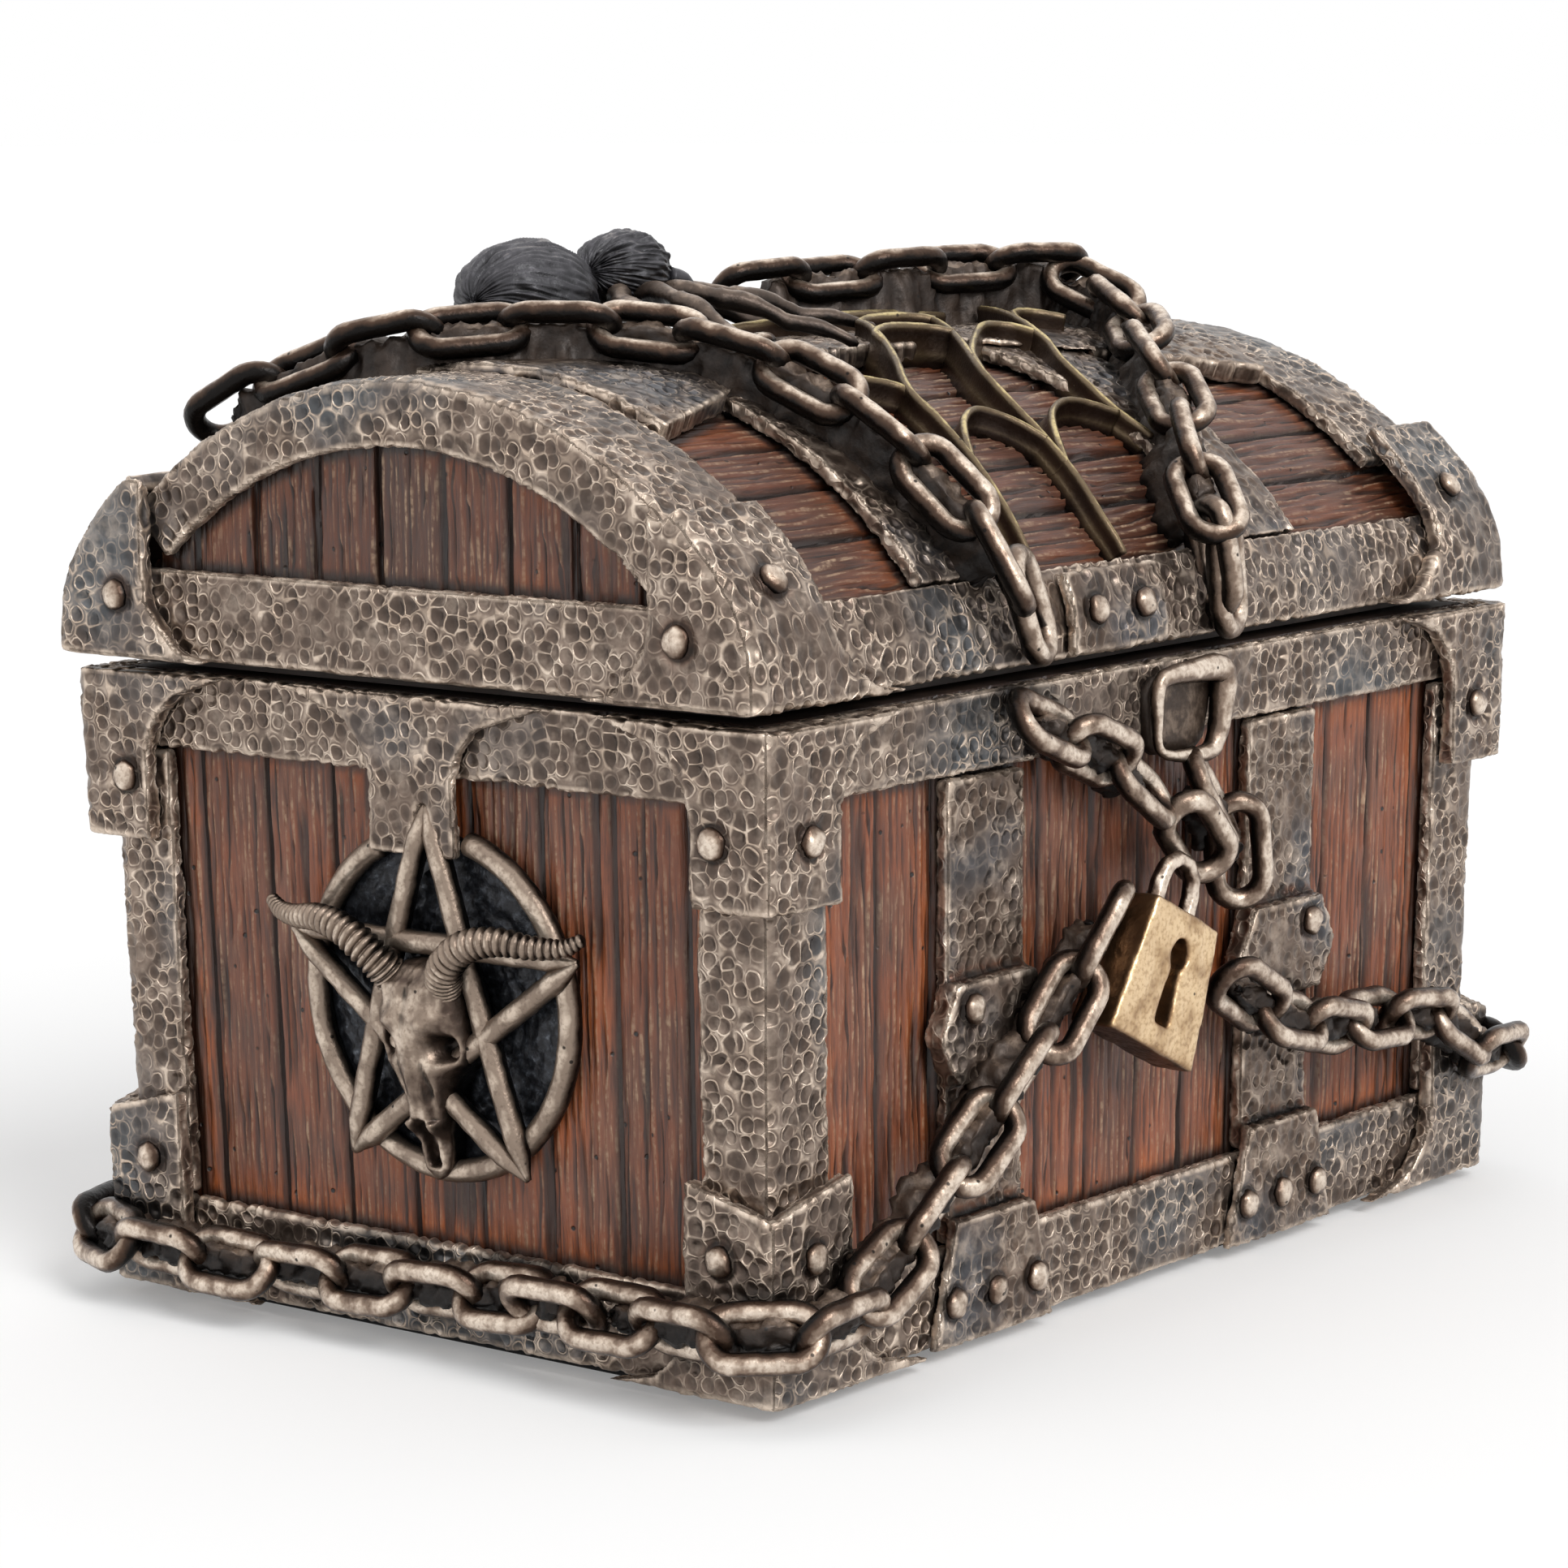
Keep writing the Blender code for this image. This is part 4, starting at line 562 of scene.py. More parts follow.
# near-black cast colour; on the chain beds its darkness is partly painted shade under the chains
castRecess = {
    "under": "#120c09", "flank": "#33271f", "crest": "#54453a", "bright": "#857364", "metallic": 0.4,
    "rough": 0.45, "flankFrom": -0.1, "flankTo": 0.8, "crestFrom": 0.7, "crestTo": 1.1, "grain": 1.4}
wornBronze = {
    "under": "#0d0a08", "flank": "#504138", "crest": "#a08e7e", "bright": "#dccbb9", "metallic": 0.72,
    "rough": 0.34, "flankFrom": 0.02, "flankTo": 0.62, "crestFrom": 0.56, "crestTo": 1.02, "grain": 2.6,
    "edgeWear": 0.7}


castFinish = {"pit": 0.45, "holes": 2.7, "bumpMm": 0.07, "edgeWear": 0.35}


def castMaterial(name, looks):
    # cast and brushed metal, coloured by where it faces: near black under as painted shade, brown on the
    # flanks, rubbed pale with a painted highlight along the crest
    stuff, put, shader, place = newMaterial(name)
    crest, edge = (put("stored", attribute_name=label, out=2) for label in ("crest", "edge"))
    blot = put("noise", place, 1 / looks["grain"], 3.0, 0.55)
    pit = put("noise", place, 1 / castFinish["pit"], 2.0, 0.55)
    crest = put("plus", crest, put("range", blot, 0.3, 0.7, -0.24, 0.24))
    # painted shade: near black where the surface faces away from outward, brown on the flanks
    colour = put("mix", put("range", crest, looks["flankFrom"], looks["flankTo"], 0.0, 1.0), looks["under"],
                 looks["flank"])
    # the crest looking outward is pale: rubbed wear and painted highlight
    worn = put("range", crest, looks["crestFrom"], looks["crestTo"], 0.0, 1.0)
    sharp = put("times", put("range", edge, 0.03, 0.12, 0.0, looks.get("edgeWear", castFinish["edgeWear"])),
                put("range", crest, looks["flankFrom"], looks["crestFrom"] + 0.1, 0.0, 1.0))
    worn = put("larger", worn, sharp)
    worn = put("times", worn, put("range", pit, 0.32, 0.44, 0.7, 1.0))
    colour = put("mix", worn, colour, looks["crest"])
    # painted highlight where the surface looks most outward
    shine = put("range", crest, looks["crestTo"] - 0.16, looks["crestTo"] + 0.12, 0.0, 0.85)
    shine = put("times", shine, put("range", pit, 0.38, 0.54, 0.45, 1.0))
    colour = put("mix", shine, colour, looks["bright"])
    # dark paint and painted shade in the hollows, and the pinholes of the casting
    low = put("range", edge, -0.03, -0.12, 0.0, 0.9)
    holes = put("range", put("cells", place, 1 / castFinish["holes"], feature="F1"), 0.085, 0.05, 0.0, 0.9)
    colour = put("mix", put("larger", low, holes), colour, looks["under"])
    rough = put("range", pit, 0.3, 0.7, looks["rough"] + 0.1, looks["rough"] - 0.05)
    bump = put("bump", 0.7, castFinish["bumpMm"] * mm, put("plus", pit, blot))
    shader.inputs["Metallic"].default_value = looks["metallic"]
    link(shader, colour=colour, rough=rough, normal=bump)
    return stuff


def feltMaterial(name):
    # pressed wool felt: soft, matt, a little mottled
    stuff, put, shader, place = newMaterial(name)
    fibre = put("noise", place, 1 / 0.25, 3.0, 0.7)
    colour = put("mix", fibre, "#0e0e10", "#2a2a2c")
    bump = put("bump", 0.6, 0.1 * mm, fibre)
    shader.inputs["Roughness"].default_value = 0.95
    link(shader, colour=colour, normal=bump)
    return stuff


def insideMaterial(name):
    # the bare inside of the casting: flat dark brown paint, brush marks, a few scuffs
    stuff, put, shader, place = newMaterial(name)
    brush = put("noise", put("vectorTimes", place, (0.25, 0.25, 1.6)), 0.9, 3.0, 0.6)
    scuff = put("noise", place, 1 / 5.0, 3.0, 0.6)
    colour = put("mix", brush, "#241a15", "#3a2a21")
    colour = put("mix", put("range", scuff, 0.6, 0.75, 0.0, 0.5), colour, "#5a463a")
    rough = put("range", scuff, 0.3, 0.7, 0.6, 0.48)
    bump = put("bump", 0.5, 0.1 * mm, brush)
    link(shader, colour=colour, rough=rough, normal=bump)
    return stuff


iron = hammeredMaterial("hammeredIron", hammeredIron)
strapIron = hammeredMaterial("wornIron", wornIron)
boards = boardMaterial("paintedBoards", paintedBoards)
bronze = castMaterial("rubbedBronze", rubbedBronze)
brass = castMaterial("agedBrass", agedBrass)
gilt = castMaterial("dullGilt", dullGilt)
charcoal = castMaterial("charcoalPaint", charcoalPaint)
umber = castMaterial("umberCast", umberCast)
enamel = castMaterial("darkEnamel", darkEnamel)
recess = castMaterial("castRecess", castRecess)
dullBronze = castMaterial("wornBronze", wornBronze)
felt = feltMaterial("darkFelt")
inside = insideMaterial("castInside")
print("materials ready")


# chains: oval links hooked one into the next along a path on the case or the lid
links = {"wire": 2.12, "bend": 2.46, "straight": 2.5, "castBend": 2.5, "lean": math.radians(38), "step": 0.05,
         "merge": 0.6, "castWire": 2.2, "clear": 1.0, "cornerLift": 0.5, "arcPoints": 44, "sides": 12,
         "rough": 0.11, "roughGrain": 2.0, "sink": 0.5}
chainRise = links["castBend"] * math.sin(links["lean"]) + links["castWire"] / 2 + chest["gap"] - links["sink"]
layers = {"band": chest["bandOut"], "ridge": chest["ridgeOut"], "plate": chest["plateOut"],
          "bracket": chest["bracketOut"], "corner": chest["bracketOut"] + links["cornerLift"],
          "crest": chest["plateOut"] + 2.2}
lock = {"x": -6.5, "z": 32.0, "tilt": math.radians(-25.8), "lift": 3.2, "thick": 5.2}
staple = {"x": 1.3, "z": 56.8}

# paths as (run, height, layer), as the solids have them
wrapFromLock = ((-8.9, 5.5, "plate"), (-16.6, -2.0, "plate"))
wrapStretches = (
    ((24.1, 21.5, "plate"), (15.0, 15.2, "plate"), (11.0, 12.8, "bracket"), (4.0, 9.3, "bracket"),
     (1.0, 8.6, "corner"), (-1.0, 8.4, "corner"), (-8.0, 8.2, "bracket"), (-20.0, 8.0, "bracket"),
     (-23.0, 7.5, "band"), (-38.0, 6.6, "band"), (-54.0, 6.0, "band"), (-57.0, 6.0, "bracket")),
    ((2.0, 6.4, "corner"), (-2.0, 6.4, "corner"), (-6.0, 6.2, "bracket")),
    ((6.0, 6.2, "bracket"), (2.0, 6.4, "corner"), (-2.0, 6.4, "corner"), (-8.0, 6.4, "bracket")),
    ((24.0, 6.4, "bracket"), (8.0, 10.0, "bracket"), (1.5, 13.8, "corner"), (-1.5, 14.8, "corner"),
     (-8.0, 18.4, "bracket"), (-13.0, 20.5, "bracket"), (-20.0, 21.4, "plate"), (-32.0, 22.2, "plate")))
wrapToLock = ((23.2, -7.4, "plate"), (16.0, -3.5, "plate"))
wrapBreaks = (-13.0, -12.0, -15.0, -23.5)
wrapNames = ("chain_low_left", "chain_left_end", "chain_back", "chain_right_end", "chain_low_right")
hangLeft = ((-23.5, 0.9, "band"), (-13.8, -2.8, "band"), (-8.0, -6.5, "band"), (-3.5, -11.3, "band"))
hangRight = ((4.0, -9.0, "band"), (9.0, -14.8, "band"), (10.0, -21.8, "band"))
lidLeft = ((25.5, -54.0, "ridge"), (20.0, -52.8, "ridge"), (12.0, -50.0, "ridge"), (5.0, -46.0, "ridge"),
           (0.0, -40.0, "ridge"), (-7.0, -34.5, "ridge"), (-18.0, -30.0, "ridge"), (-33.0, -27.8, "ridge"),
           (-45.2, -26.2, "ridge"))
lidRight = ((10.0, 6.0, "crest"), (6.2, 18.0, "crest"), (3.0, 30.0, "crest"), (-0.5, 37.5, "crest"),
            (-6.0, 39.5, "plate"), (-13.0, 35.0, "ridge"), (-21.0, 26.0, "ridge"), (-30.0, 19.0, "ridge"),
            (-38.0, 12.0, "ridge"), (-44.8, 7.0, "plate"))


def onLayers(path, start=0.0, height=0.0):
    return [(start + run, height + across, layers[layer] + chest["gap"]) for run, across, layer in path]


def pathPoint(path, place, u):
    for (u0, z0, b0), (u1, z1, b1) in zip(path, path[1:]):
        if u0 <= u <= u1 or u1 <= u <= u0:
            share = (u - u0) / (u1 - u0)
            return place(u, z0 + (z1 - z0) * share, b0 + (b1 - b0) * share + chainRise)
    return None


def chainFrames(path, place, breaks):
    # centres and directions of the links; a break starts the next casting
    step = links["step"] if path[-1][0] > path[0][0] else -links["step"]
    reach = links["straight"] + links["castBend"]
    frames = []

    def frameAt(u):
        here, ahead = pathPoint(path, place, u), pathPoint(path, place, u + step)
        if here is None or ahead is None:
            return None
        along = (ahead[0] - here[0]).normalized()
        normal = (here[1] - along * here[1].dot(along)).normalized()
        return here[0], along, normal

    u = path[0][0]
    last, part = frameAt(u), 0
    while last:
        frames.append((part, *last))
        tip = last[0] + last[1] * reach
        following, past = last, False
        while following:
            chord = following[0] - last[0]
            if chord.length > reach:
                tail = following[0] - following[1] * reach
                past = part < len(breaks) and (u - breaks[part]) * step > 0
                if (tip - tail).dot(chord.normalized()) <= links["castWire"] + (
                        links["clear"] if past else -links["merge"]):
                    break
            u += step
            following = frameAt(u)
        part += 1 if past else 0
        last = following
    return frames


def linkTree():
    # an oval link swept round a stadium path, set on every point and roughened a little
    put, inputs = newTree("chainLinks", [
        ("Wire", "Float", links["wire"] * mm), ("Bend", "Float", links["bend"] * mm),
        ("Straight", "Float", links["straight"] * mm), ("Arc points", "Int", links["arcPoints"]),
        ("Sides", "Int", links["sides"]), ("Rough", "Float", links["rough"] * mm), ("Metal", "Material", None)])
    ring = put("circle", ins={"Resolution": inputs["Arc points"], "Radius": inputs["Bend"]})
    x = put("split", put("position"))
    shift = put("times", put("sign", x), inputs["Straight"])
    ring = put("move", ring, ins={"Offset": put("join", shift)})
    ring = put("resample", ring, ins={"Count": inputs["Arc points"]})
    profile = put("circle", ins={"Resolution": inputs["Sides"], "Radius": put("times", inputs["Wire"], 0.5)})
    oval = put("sweep", ring, profile)
    turn = put("named", "turn", data_type="QUATERNION")
    many = put("copies", inputs["Geometry"], ins={"Instance": oval, "Rotation": turn})
    many = withFacing(put, put("real", many), put("named", "outward", data_type="FLOAT_VECTOR"))
    spot = inMm(put, put("position"))
    many = pushed(put, many, lumps(put, spot, links["roughGrain"], 2.0, inputs["Rough"]))
    return closeTree(put, many, inputs["Metal"])


chainTree = linkTree()
chainObjects, chainBeds = [], []
bed = {"foot": 2.0, "waist": 1.5, "shoulder": 1.15, "lift": 0.55, "under": 0.35, "steps": 20, "across": 30,
       "taper": 2.5, "past": 0.35, "rows": 160}


def makeChain(names, path, place, onLid=False, breaks=()):
    frames = chainFrames(path, place, breaks)
    for part, name in enumerate(names):
        spots, turns, outs = [], [], []
        for k, (which, centre, along, normal) in enumerate(frames):
            if which != part:
                continue
            lean = links["lean"] if k % 2 == 0 else -links["lean"]
            side = along.cross(normal)
            across = side * math.cos(lean) + normal * math.sin(lean)
            spots.append(centre + Vector((0, chest["setBack"] if onLid else 0, 0)))
            turns.append(Matrix((along, across, along.cross(across))).transposed().to_quaternion())
            outs.append(normal)
        obj = worked(pointCloud(name + "_links", spots, turns, outs), chainTree, {"Metal": bronze})
        hand(obj, "lid" if onLid else "case", "rubbed_bronze", name)
        chainObjects.append(obj)
        reach = links["straight"] * bed["past"]
        first, last = ([k for k, made in enumerate(frames) if made[0] == part][end] for end in (0, -1))
        spots = [(frames[first][1] - frames[first][2] * reach, *frames[first][2:])]
        spots += [made[1:] for made in frames[first:last + 1]]
        spots.append((frames[last][1] + frames[last][2] * reach, *frames[last][2:]))
        chainBeds.append((name, spots, onLid))


def frontRun(x):
    return x + chest["halfX"] - chest["corner"] + cornerRun / 2


def onRun(run, x, off):
    return lidPoint(x, run, off)


starts = (0.0, -sideRuns[1], -sideRuns[0] - sideRuns[1], -sideRuns[0] - 2 * sideRuns[1])
wrap = onLayers(wrapFromLock, frontRun(lock["x"]), lock["z"])
for start, stretch in zip(starts, wrapStretches):
    wrap += onLayers(stretch, start)
wrap += onLayers(wrapToLock, -2 * sum(sideRuns) + frontRun(lock["x"]), lock["z"])
makeChain(wrapNames, wrap, casePoint, breaks=[start + run for start, run in zip(starts, wrapBreaks)])
makeChain(["chain_hang_left"], onLayers(hangLeft, frontRun(staple["x"]), staple["z"]), casePoint)
makeChain(["chain_hang_right"], onLayers(hangRight, frontRun(staple["x"]), staple["z"]), casePoint)
makeChain(["lid_chain_left"], onLayers(lidLeft), onRun, True)
makeChain(["lid_chain_right"], onLayers(lidRight), onRun, True)
print("chains made")


# rivets: low domes on plates and brackets
rivet = {"radius": 1.5, "height": 0.9, "detail": 3, "dent": 1.1, "in": 0.12, "out": 0.10}
# where they sit, in from the ends or up and down from the edges of their pieces
seats = {"bracketIn": 6.2, "topDown": 10.1, "footUp": 12.9, "lidUp": 11.2, "lidEndIn": 4.5, "lidEndUp": 6.0,
         "strapUp": 4.2, "strapSpread": 6.6, "plateOut": 4.0, "plateUp": 32.7, "ridgeX": -8.5, "haspX": -7.0,
         "haspSpread": 3.9, "haspUp": 4.5}
caseRivets, lidRivets = [], []


def setRivet(place, onLid=False, mirror=(1, 1)):
    flip = Matrix.Diagonal((mirror[0], mirror[1], 1, 1))
    spot = flip @ place.translation
    out = (flip.to_3x3() @ place.to_3x3().col[2]).normalized()
    spot = Vector(settle([spot], onLid)[0])
    (lidRivets if onLid else caseRivets).append((spot, out))


def lidSeat(x, z, off):
    spot, normal = lidPoint(x, -runAtHeight(z, off), off)
    across = Vector((1, 0, 0))
    return Matrix.Translation(spot) @ Matrix((across, normal.cross(across), normal)).transposed().to_4x4()


endX, endY = seats["bracketIn"] - chest["length"] / 2, chest["width"] / 2 - seats["bracketIn"]
bottom = chest["lidBottom"]
for mirror in ((1, 1), (-1, 1), (1, -1), (-1, -1)):
    for z in (chest["height"] - seats["topDown"], chest["foot"] + seats["footUp"]):
        setRivet(face(frontTurn, chest["halfY"], chest["bracketOut"], endX, z), mirror=mirror)
        setRivet(face(leftTurn, chest["halfX"], chest["bracketOut"], endY, z), mirror=mirror)
    setRivet(lidSeat(endX, bottom + seats["lidUp"], chest["bracketOut"]), True, mirror)
    setRivet(face(leftTurn, chest["lidHalfX"], chest["bracketOut"], chest["lidHalf"] - seats["lidEndIn"],
                  bottom + seats["lidEndUp"]), True, mirror)
low = chest["foot"] + seats["strapUp"]
for turn, x, out in ((frontTurn, chest["strapLeft"], -1), (frontTurn, chest["strapRight"], 1),
                     (backTurn, -chest["strapLeft"], 1), (backTurn, -chest["strapRight"], -1)):
    for across, z in ((-seats["strapSpread"], low), (0, low), (seats["strapSpread"], low),
                      (out * seats["plateOut"], seats["plateUp"])):
        setRivet(face(turn, chest["halfY"], chest["plateOut"], x + across, z))
setRivet(Matrix.Translation(lidPoint(seats["ridgeX"], 0, chest["ridgeOut"])[0]), True)
for side in (-1, 1):
    setRivet(lidSeat(seats["haspX"] + side * seats["haspSpread"], bottom + seats["haspUp"], chest["plateOut"]),
             True)


def rivetTree():
    put, inputs = newTree("rivetHeads", [
        ("Radius", "Float", rivet["radius"] * mm), ("Height", "Float", rivet["height"] * mm),
        ("Detail", "Int", rivet["detail"]), ("Metal", "Material", None)])
    ball = put("ball", 1.0, inputs["Detail"])
    ball = put("shape", ball, ins={"Scale": put("join", inputs["Radius"], inputs["Radius"], inputs["Height"])})
    turn = put("named", "turn", data_type="QUATERNION")
    many = put("real", put("copies", inputs["Geometry"], ins={"Instance": ball, "Rotation": turn}))
    many = withFacing(put, many, put("named", "outward", data_type="FLOAT_VECTOR"))
    dent = put("noise", inMm(put, put("position")), 1 / rivet["dent"], 1.0, 0.5)
    many = pushed(put, many, put("range", dent, 0.3, 0.7, -rivet["in"] * mm, rivet["out"] * mm))
    return closeTree(put, many, inputs["Metal"])


rivetMaker = rivetTree()
for name, body, spots in (("case_rivets", "case", caseRivets), ("lid_rivets", "lid", lidRivets)):
    places, outs = zip(*spots)
    obj = pointCloud(name, places, [out.to_track_quat("Z", "Y") for out in outs], outs)
    hand(worked(obj, rivetMaker, {"Metal": bronze}), body, "rubbed_bronze")
print("rivets made:", len(caseRivets) + len(lidRivets))


def guide(name, objects):
    # one helper mesh of many, only for measuring distances; it is deleted at the end
    bm = bmesh.new()
    for obj in objects:
        bm.from_mesh(obj.data)
    mesh = bpy.data.meshes.new(name)
    bm.to_mesh(mesh)
    bm.free()
    return placed(name, mesh)


plateNames = [name for name in frame["nodes"] if name.startswith((
    "case_foot_band", "case_rim_band", "corner_post", "end_tab", "foot_bracket", "top_bracket", "strap_",
    "lid_arch_band", "lid_bracket", "lid_hasp", "lid_rim_band", "lid_ridge", "lid_strap", "medallion"))]
chainGuide = guide("chainGuide", chainObjects)
plateGuide = guide("plateGuide", [frame["nodes"][name] for name in plateNames])
rivetGuide = pointCloud("rivetGuide", [spot for spot, _ in caseRivets + lidRivets])


# hammered plates, bands and brackets
def hammerTree():
    put, inputs = newTree("hammeredRelief", [
        ("Bowl depth", "Float", 0.24 * mm), ("Rim height", "Float", 0.09 * mm), ("Wander", "Float", 0.20 * mm),
        ("Chains", "Object", None), ("Rivets", "Object", None), ("Metal", "Material", None)])
    body = withEdge(put, inputs["Geometry"], plates["edgeReach"])
    body = withDistances(put, body, (("chain", inputs["Chains"], "FACES"),
                                      ("rivet", inputs["Rivets"], "POINTS")))
    field = hammerField(put, put("named", "sheet", data_type="FLOAT_VECTOR"))
    hollow = put("times", put("times", field["bowl"], field["zone"]), inputs["Bowl depth"])
    raised = put("times", put("times", field["rim"], field["zone"]), inputs["Rim height"])
    wave = lumps(put, inMm(put, put("position")), plates["waveLength"], 2.0, inputs["Wander"])
    far = put("named", "rivet", data_type="FLOAT")
    ring = put("size", put("minus", far, plates["dishAt"]))
    ring = put("range", ring, *plates["dish"], 0.0)
    calm = put("range", far, plates["calmFrom"], plates["calmTo"], 0.0, 1.0)
    push = put("times", put("minus", raised, hollow), calm)
    body = pushed(put, body, put("minus", put("plus", push, wave), ring))
    return closeTree(put, body, inputs["Metal"])


def lidRun(points):
    # distance along the barrel from its crown, and height over its skin, of points in mm
    y, z = points[:, 1] - chest["setBack"], points[:, 2]
    angle = np.arctan2(np.abs(y), z - crownCentre)
    nearShoulder = np.arctan2(np.abs(y) - shoulderY, z - shoulderZ)
    bend = np.clip(nearShoulder, crownAngle, math.pi / 2) - crownAngle
    run = np.where(angle <= crownAngle, angle * crownRadius, crownRun + bend * chest["shoulderRadius"])
    run = np.where(z < shoulderZ, shoulderRun + shoulderZ - z, run) * np.sign(y)
    rise = np.where(angle <= crownAngle, np.hypot(y, z - crownCentre) - crownRadius,
                    np.hypot(np.abs(y) - shoulderY, np.maximum(z - shoulderZ, 0)) - chest["shoulderRadius"])
    return run, rise


def floats(data, label, count):
    values = np.empty(len(data) * count, np.float32)
    data.foreach_get(label, values)
    return values.reshape(-1, count).astype(float)


def setSheet(obj, onLid):
    # unrolls each outer side flat, so that the hammer blows lie in the sheet
    points = floats(obj.data.vertices, "co", 3) / mm
    normals = floats(obj.data.vertex_normals, "vector", 3)
    x, y, z = points.T
    side = np.abs(normals[:, 0]) > (0.72 if onLid else np.abs(normals[:, 1]))
    across = lidRun(points)[0] if onLid else np.where(np.abs(normals[:, 2]) > 0.8, y, z)
    sheet = np.stack([np.where(side, y + 200, x), np.where(side, z, across), np.zeros(len(x))], 1)
    sheet[:, 0] += 400 * (np.where(side, x, -1 if onLid else y) > 0)
    setField(obj, "sheet", sheet)


plates = {"voxel": 0.34, "smoothing": 5, "edgeReach": 5, "waveLength": 4.0, "dishAt": 1.85,
          "dish": (0.1, 0.5, 0.22 * mm), "calmFrom": 1.9, "calmTo": 2.8}
hammering = hammerTree()
for name in plateNames:
    if name.startswith("medallion"):
        continue
    obj = remeshed(castCopy(name + "_cast", name), plates["voxel"], plates["smoothing"])
    setSheet(obj, name in lidNodes)
    metal = strapIron if name.startswith(("strap_", "lid_strap", "lid_ridge", "lid_hasp")) else iron
    worked(obj, hammering, {"Chains": chainGuide, "Rivets": rivetGuide, "Metal": metal})
    hand(obj, "lid" if name in lidNodes else "case", "hammered_iron", name)
print("plates hammered")


# other cast pieces: edges rounded, surface a little uneven
def castTree():
    put, inputs = newTree("castSurface", [
        ("Uneven", "Float", 0.1 * mm), ("Grain", "Float", 1.4), ("Metal", "Material", None),
        ("Outward", "Vector", (0, -1, 0))])
    body = withFacing(put, withEdge(put, inputs["Geometry"], 8), inputs["Outward"])
    spot = put("scaled", inMm(put, put("position")), put("over", 1.0, inputs["Grain"]))
    body = pushed(put, body, lumps(put, spot, 1.0, 3.0, inputs["Uneven"]))
    return closeTree(put, body, inputs["Metal"])


casting = castTree()
obj = remeshed(castCopy("padlock_shackle_cast", "padlock_shackle"), 0.18, 6)
worked(obj, casting, {"Uneven": 0.1 * mm, "Metal": bronze, "Outward": (-0.3, -1, 0.2)})
hand(obj, "case", "aged_brass", "padlock_shackle")


def spline(knots, steps):
    # a smooth line through the knots, each a row of numbers
    knots = np.array(knots, float)
    ends = np.vstack([2 * knots[0] - knots[1], knots, 2 * knots[-1] - knots[-2]])
    line = []
    for a, b, c, d in zip(ends, ends[1:], ends[2:], ends[3:]):
        for t in np.arange(steps) / steps:
            line.append(0.5 * (2 * b + (c - a) * t + (2 * a - 5 * b + 4 * c - d) * t * t
                               + (3 * b - a - 3 * c + d) * t ** 3))
    return np.array(line + [knots[-1]])


def rod(line, radii, sides=12, flat=1.0, closed=False):
    # round rod along a line, thick as the radii say; flat squeezes it towards local Z, closed joins its ends
    along = np.gradient(line, axis=0)
    if closed:
        along = (np.roll(line, -1, 0) - np.roll(line, 1, 0)) / 2
    along /= np.linalg.norm(along, axis=1)[:, None]
    side = np.cross(along[0], (0.31, 0.17, 0.94))
    rings = []
    for spot, way, radius in zip(line, along, radii):
        side = side - way * side.dot(way)
        side /= np.linalg.norm(side)
        up = np.cross(side, way)
        turns = np.arange(sides) * math.tau / sides
        ring = np.outer(np.cos(turns), side) + np.outer(np.sin(turns), up)
        ring[:, 2] *= flat
        rings.append(spot + radius * ring)
    return ringSkin(rings, closed)


def ringSkin(rings, closed=False):
    # quads between equal closed rings, with a flat cap on the first and the last or the two joined
    count = len(rings[0])
    points = np.concatenate(rings)
    faces = [] if closed else [tuple(range(count))[::-1]]
    for r in range(len(rings) - 1):
        a = r * count
        faces += [(a + i, a + (i + 1) % count, a + count + (i + 1) % count,
                   a + count + i) for i in range(count)]
    a = (len(rings) - 1) * count
    if closed:
        faces += [(a + i, a + (i + 1) % count, (i + 1) % count, i) for i in range(count)]
    else:
        faces.append(tuple(range(a, a + count)))
    return points, faces


def outwards(obj):
    bm = bmesh.new()
    bm.from_mesh(obj.data)
    bmesh.ops.recalc_face_normals(bm, faces=bm.faces)
    bm.to_mesh(obj.data)
    bm.free()
    return obj


def joined(name, shapes, place=None, onLid=False):
    # several closed shapes as one mesh; a place sets them on the case, onLid on the lid
    points, faces, count = [], [], 0
    for shapePoints, shapeFaces in shapes:
        points.append(shapePoints)
        faces += [tuple(i + count for i in face) for face in shapeFaces]
        count += len(shapePoints)
    points = np.concatenate(points)
    if onLid or place is not None:
        place = Matrix() if place is None else place
        turn = np.array(place.to_3x3())
        points = settle(points @ turn.T + np.array(place.translation), onLid)
    return outwards(meshObject(name, points, faces))


def cast(obj, metal, outward, uneven, grainSize=1.4):
    return worked(obj, casting, {"Uneven": uneven * mm, "Grain": grainSize, "Metal": metal, "Outward": outward})


def reshaped(obj, *steps):
    # cuts or adds closed helper shapes and deletes them
    for operation, helper in steps:
        modifier = obj.modifiers.new(operation.lower(), "BOOLEAN")
        modifier.operation, modifier.solver, modifier.object = operation, "MANIFOLD", helper
    worked(obj, None, {})
    for _, helper in steps:
        bpy.data.objects.remove(helper, do_unlink=True)
    return obj


def castPiece(name, shapes, place, onLid, metal, outward, uneven, slot, node=None, grainSize=1.4):
    # joins closed shapes, casts them and gives them to the case or the lid
    obj = cast(joined(name, shapes, place, onLid), metal, outward, uneven, grainSize)
    return hand(obj, "lid" if onLid else "case", slot, *([node] if node else []))


def prism(outline, low, high):
    return ringSkin([np.array([(x, y, level) for x, y in outline]) for level in (low, high)])


def loopLine(halfLong, halfWide, count=44):
    # flat oval of two straights and two half rounds, long along X
    turns = np.arange(count) * math.tau / count
    x, y = halfWide * np.cos(turns), halfWide * np.sin(turns)
    return np.stack([x + np.where(x >= 0, 1, -1) * (halfLong - halfWide), y, np.zeros(count)], 1)


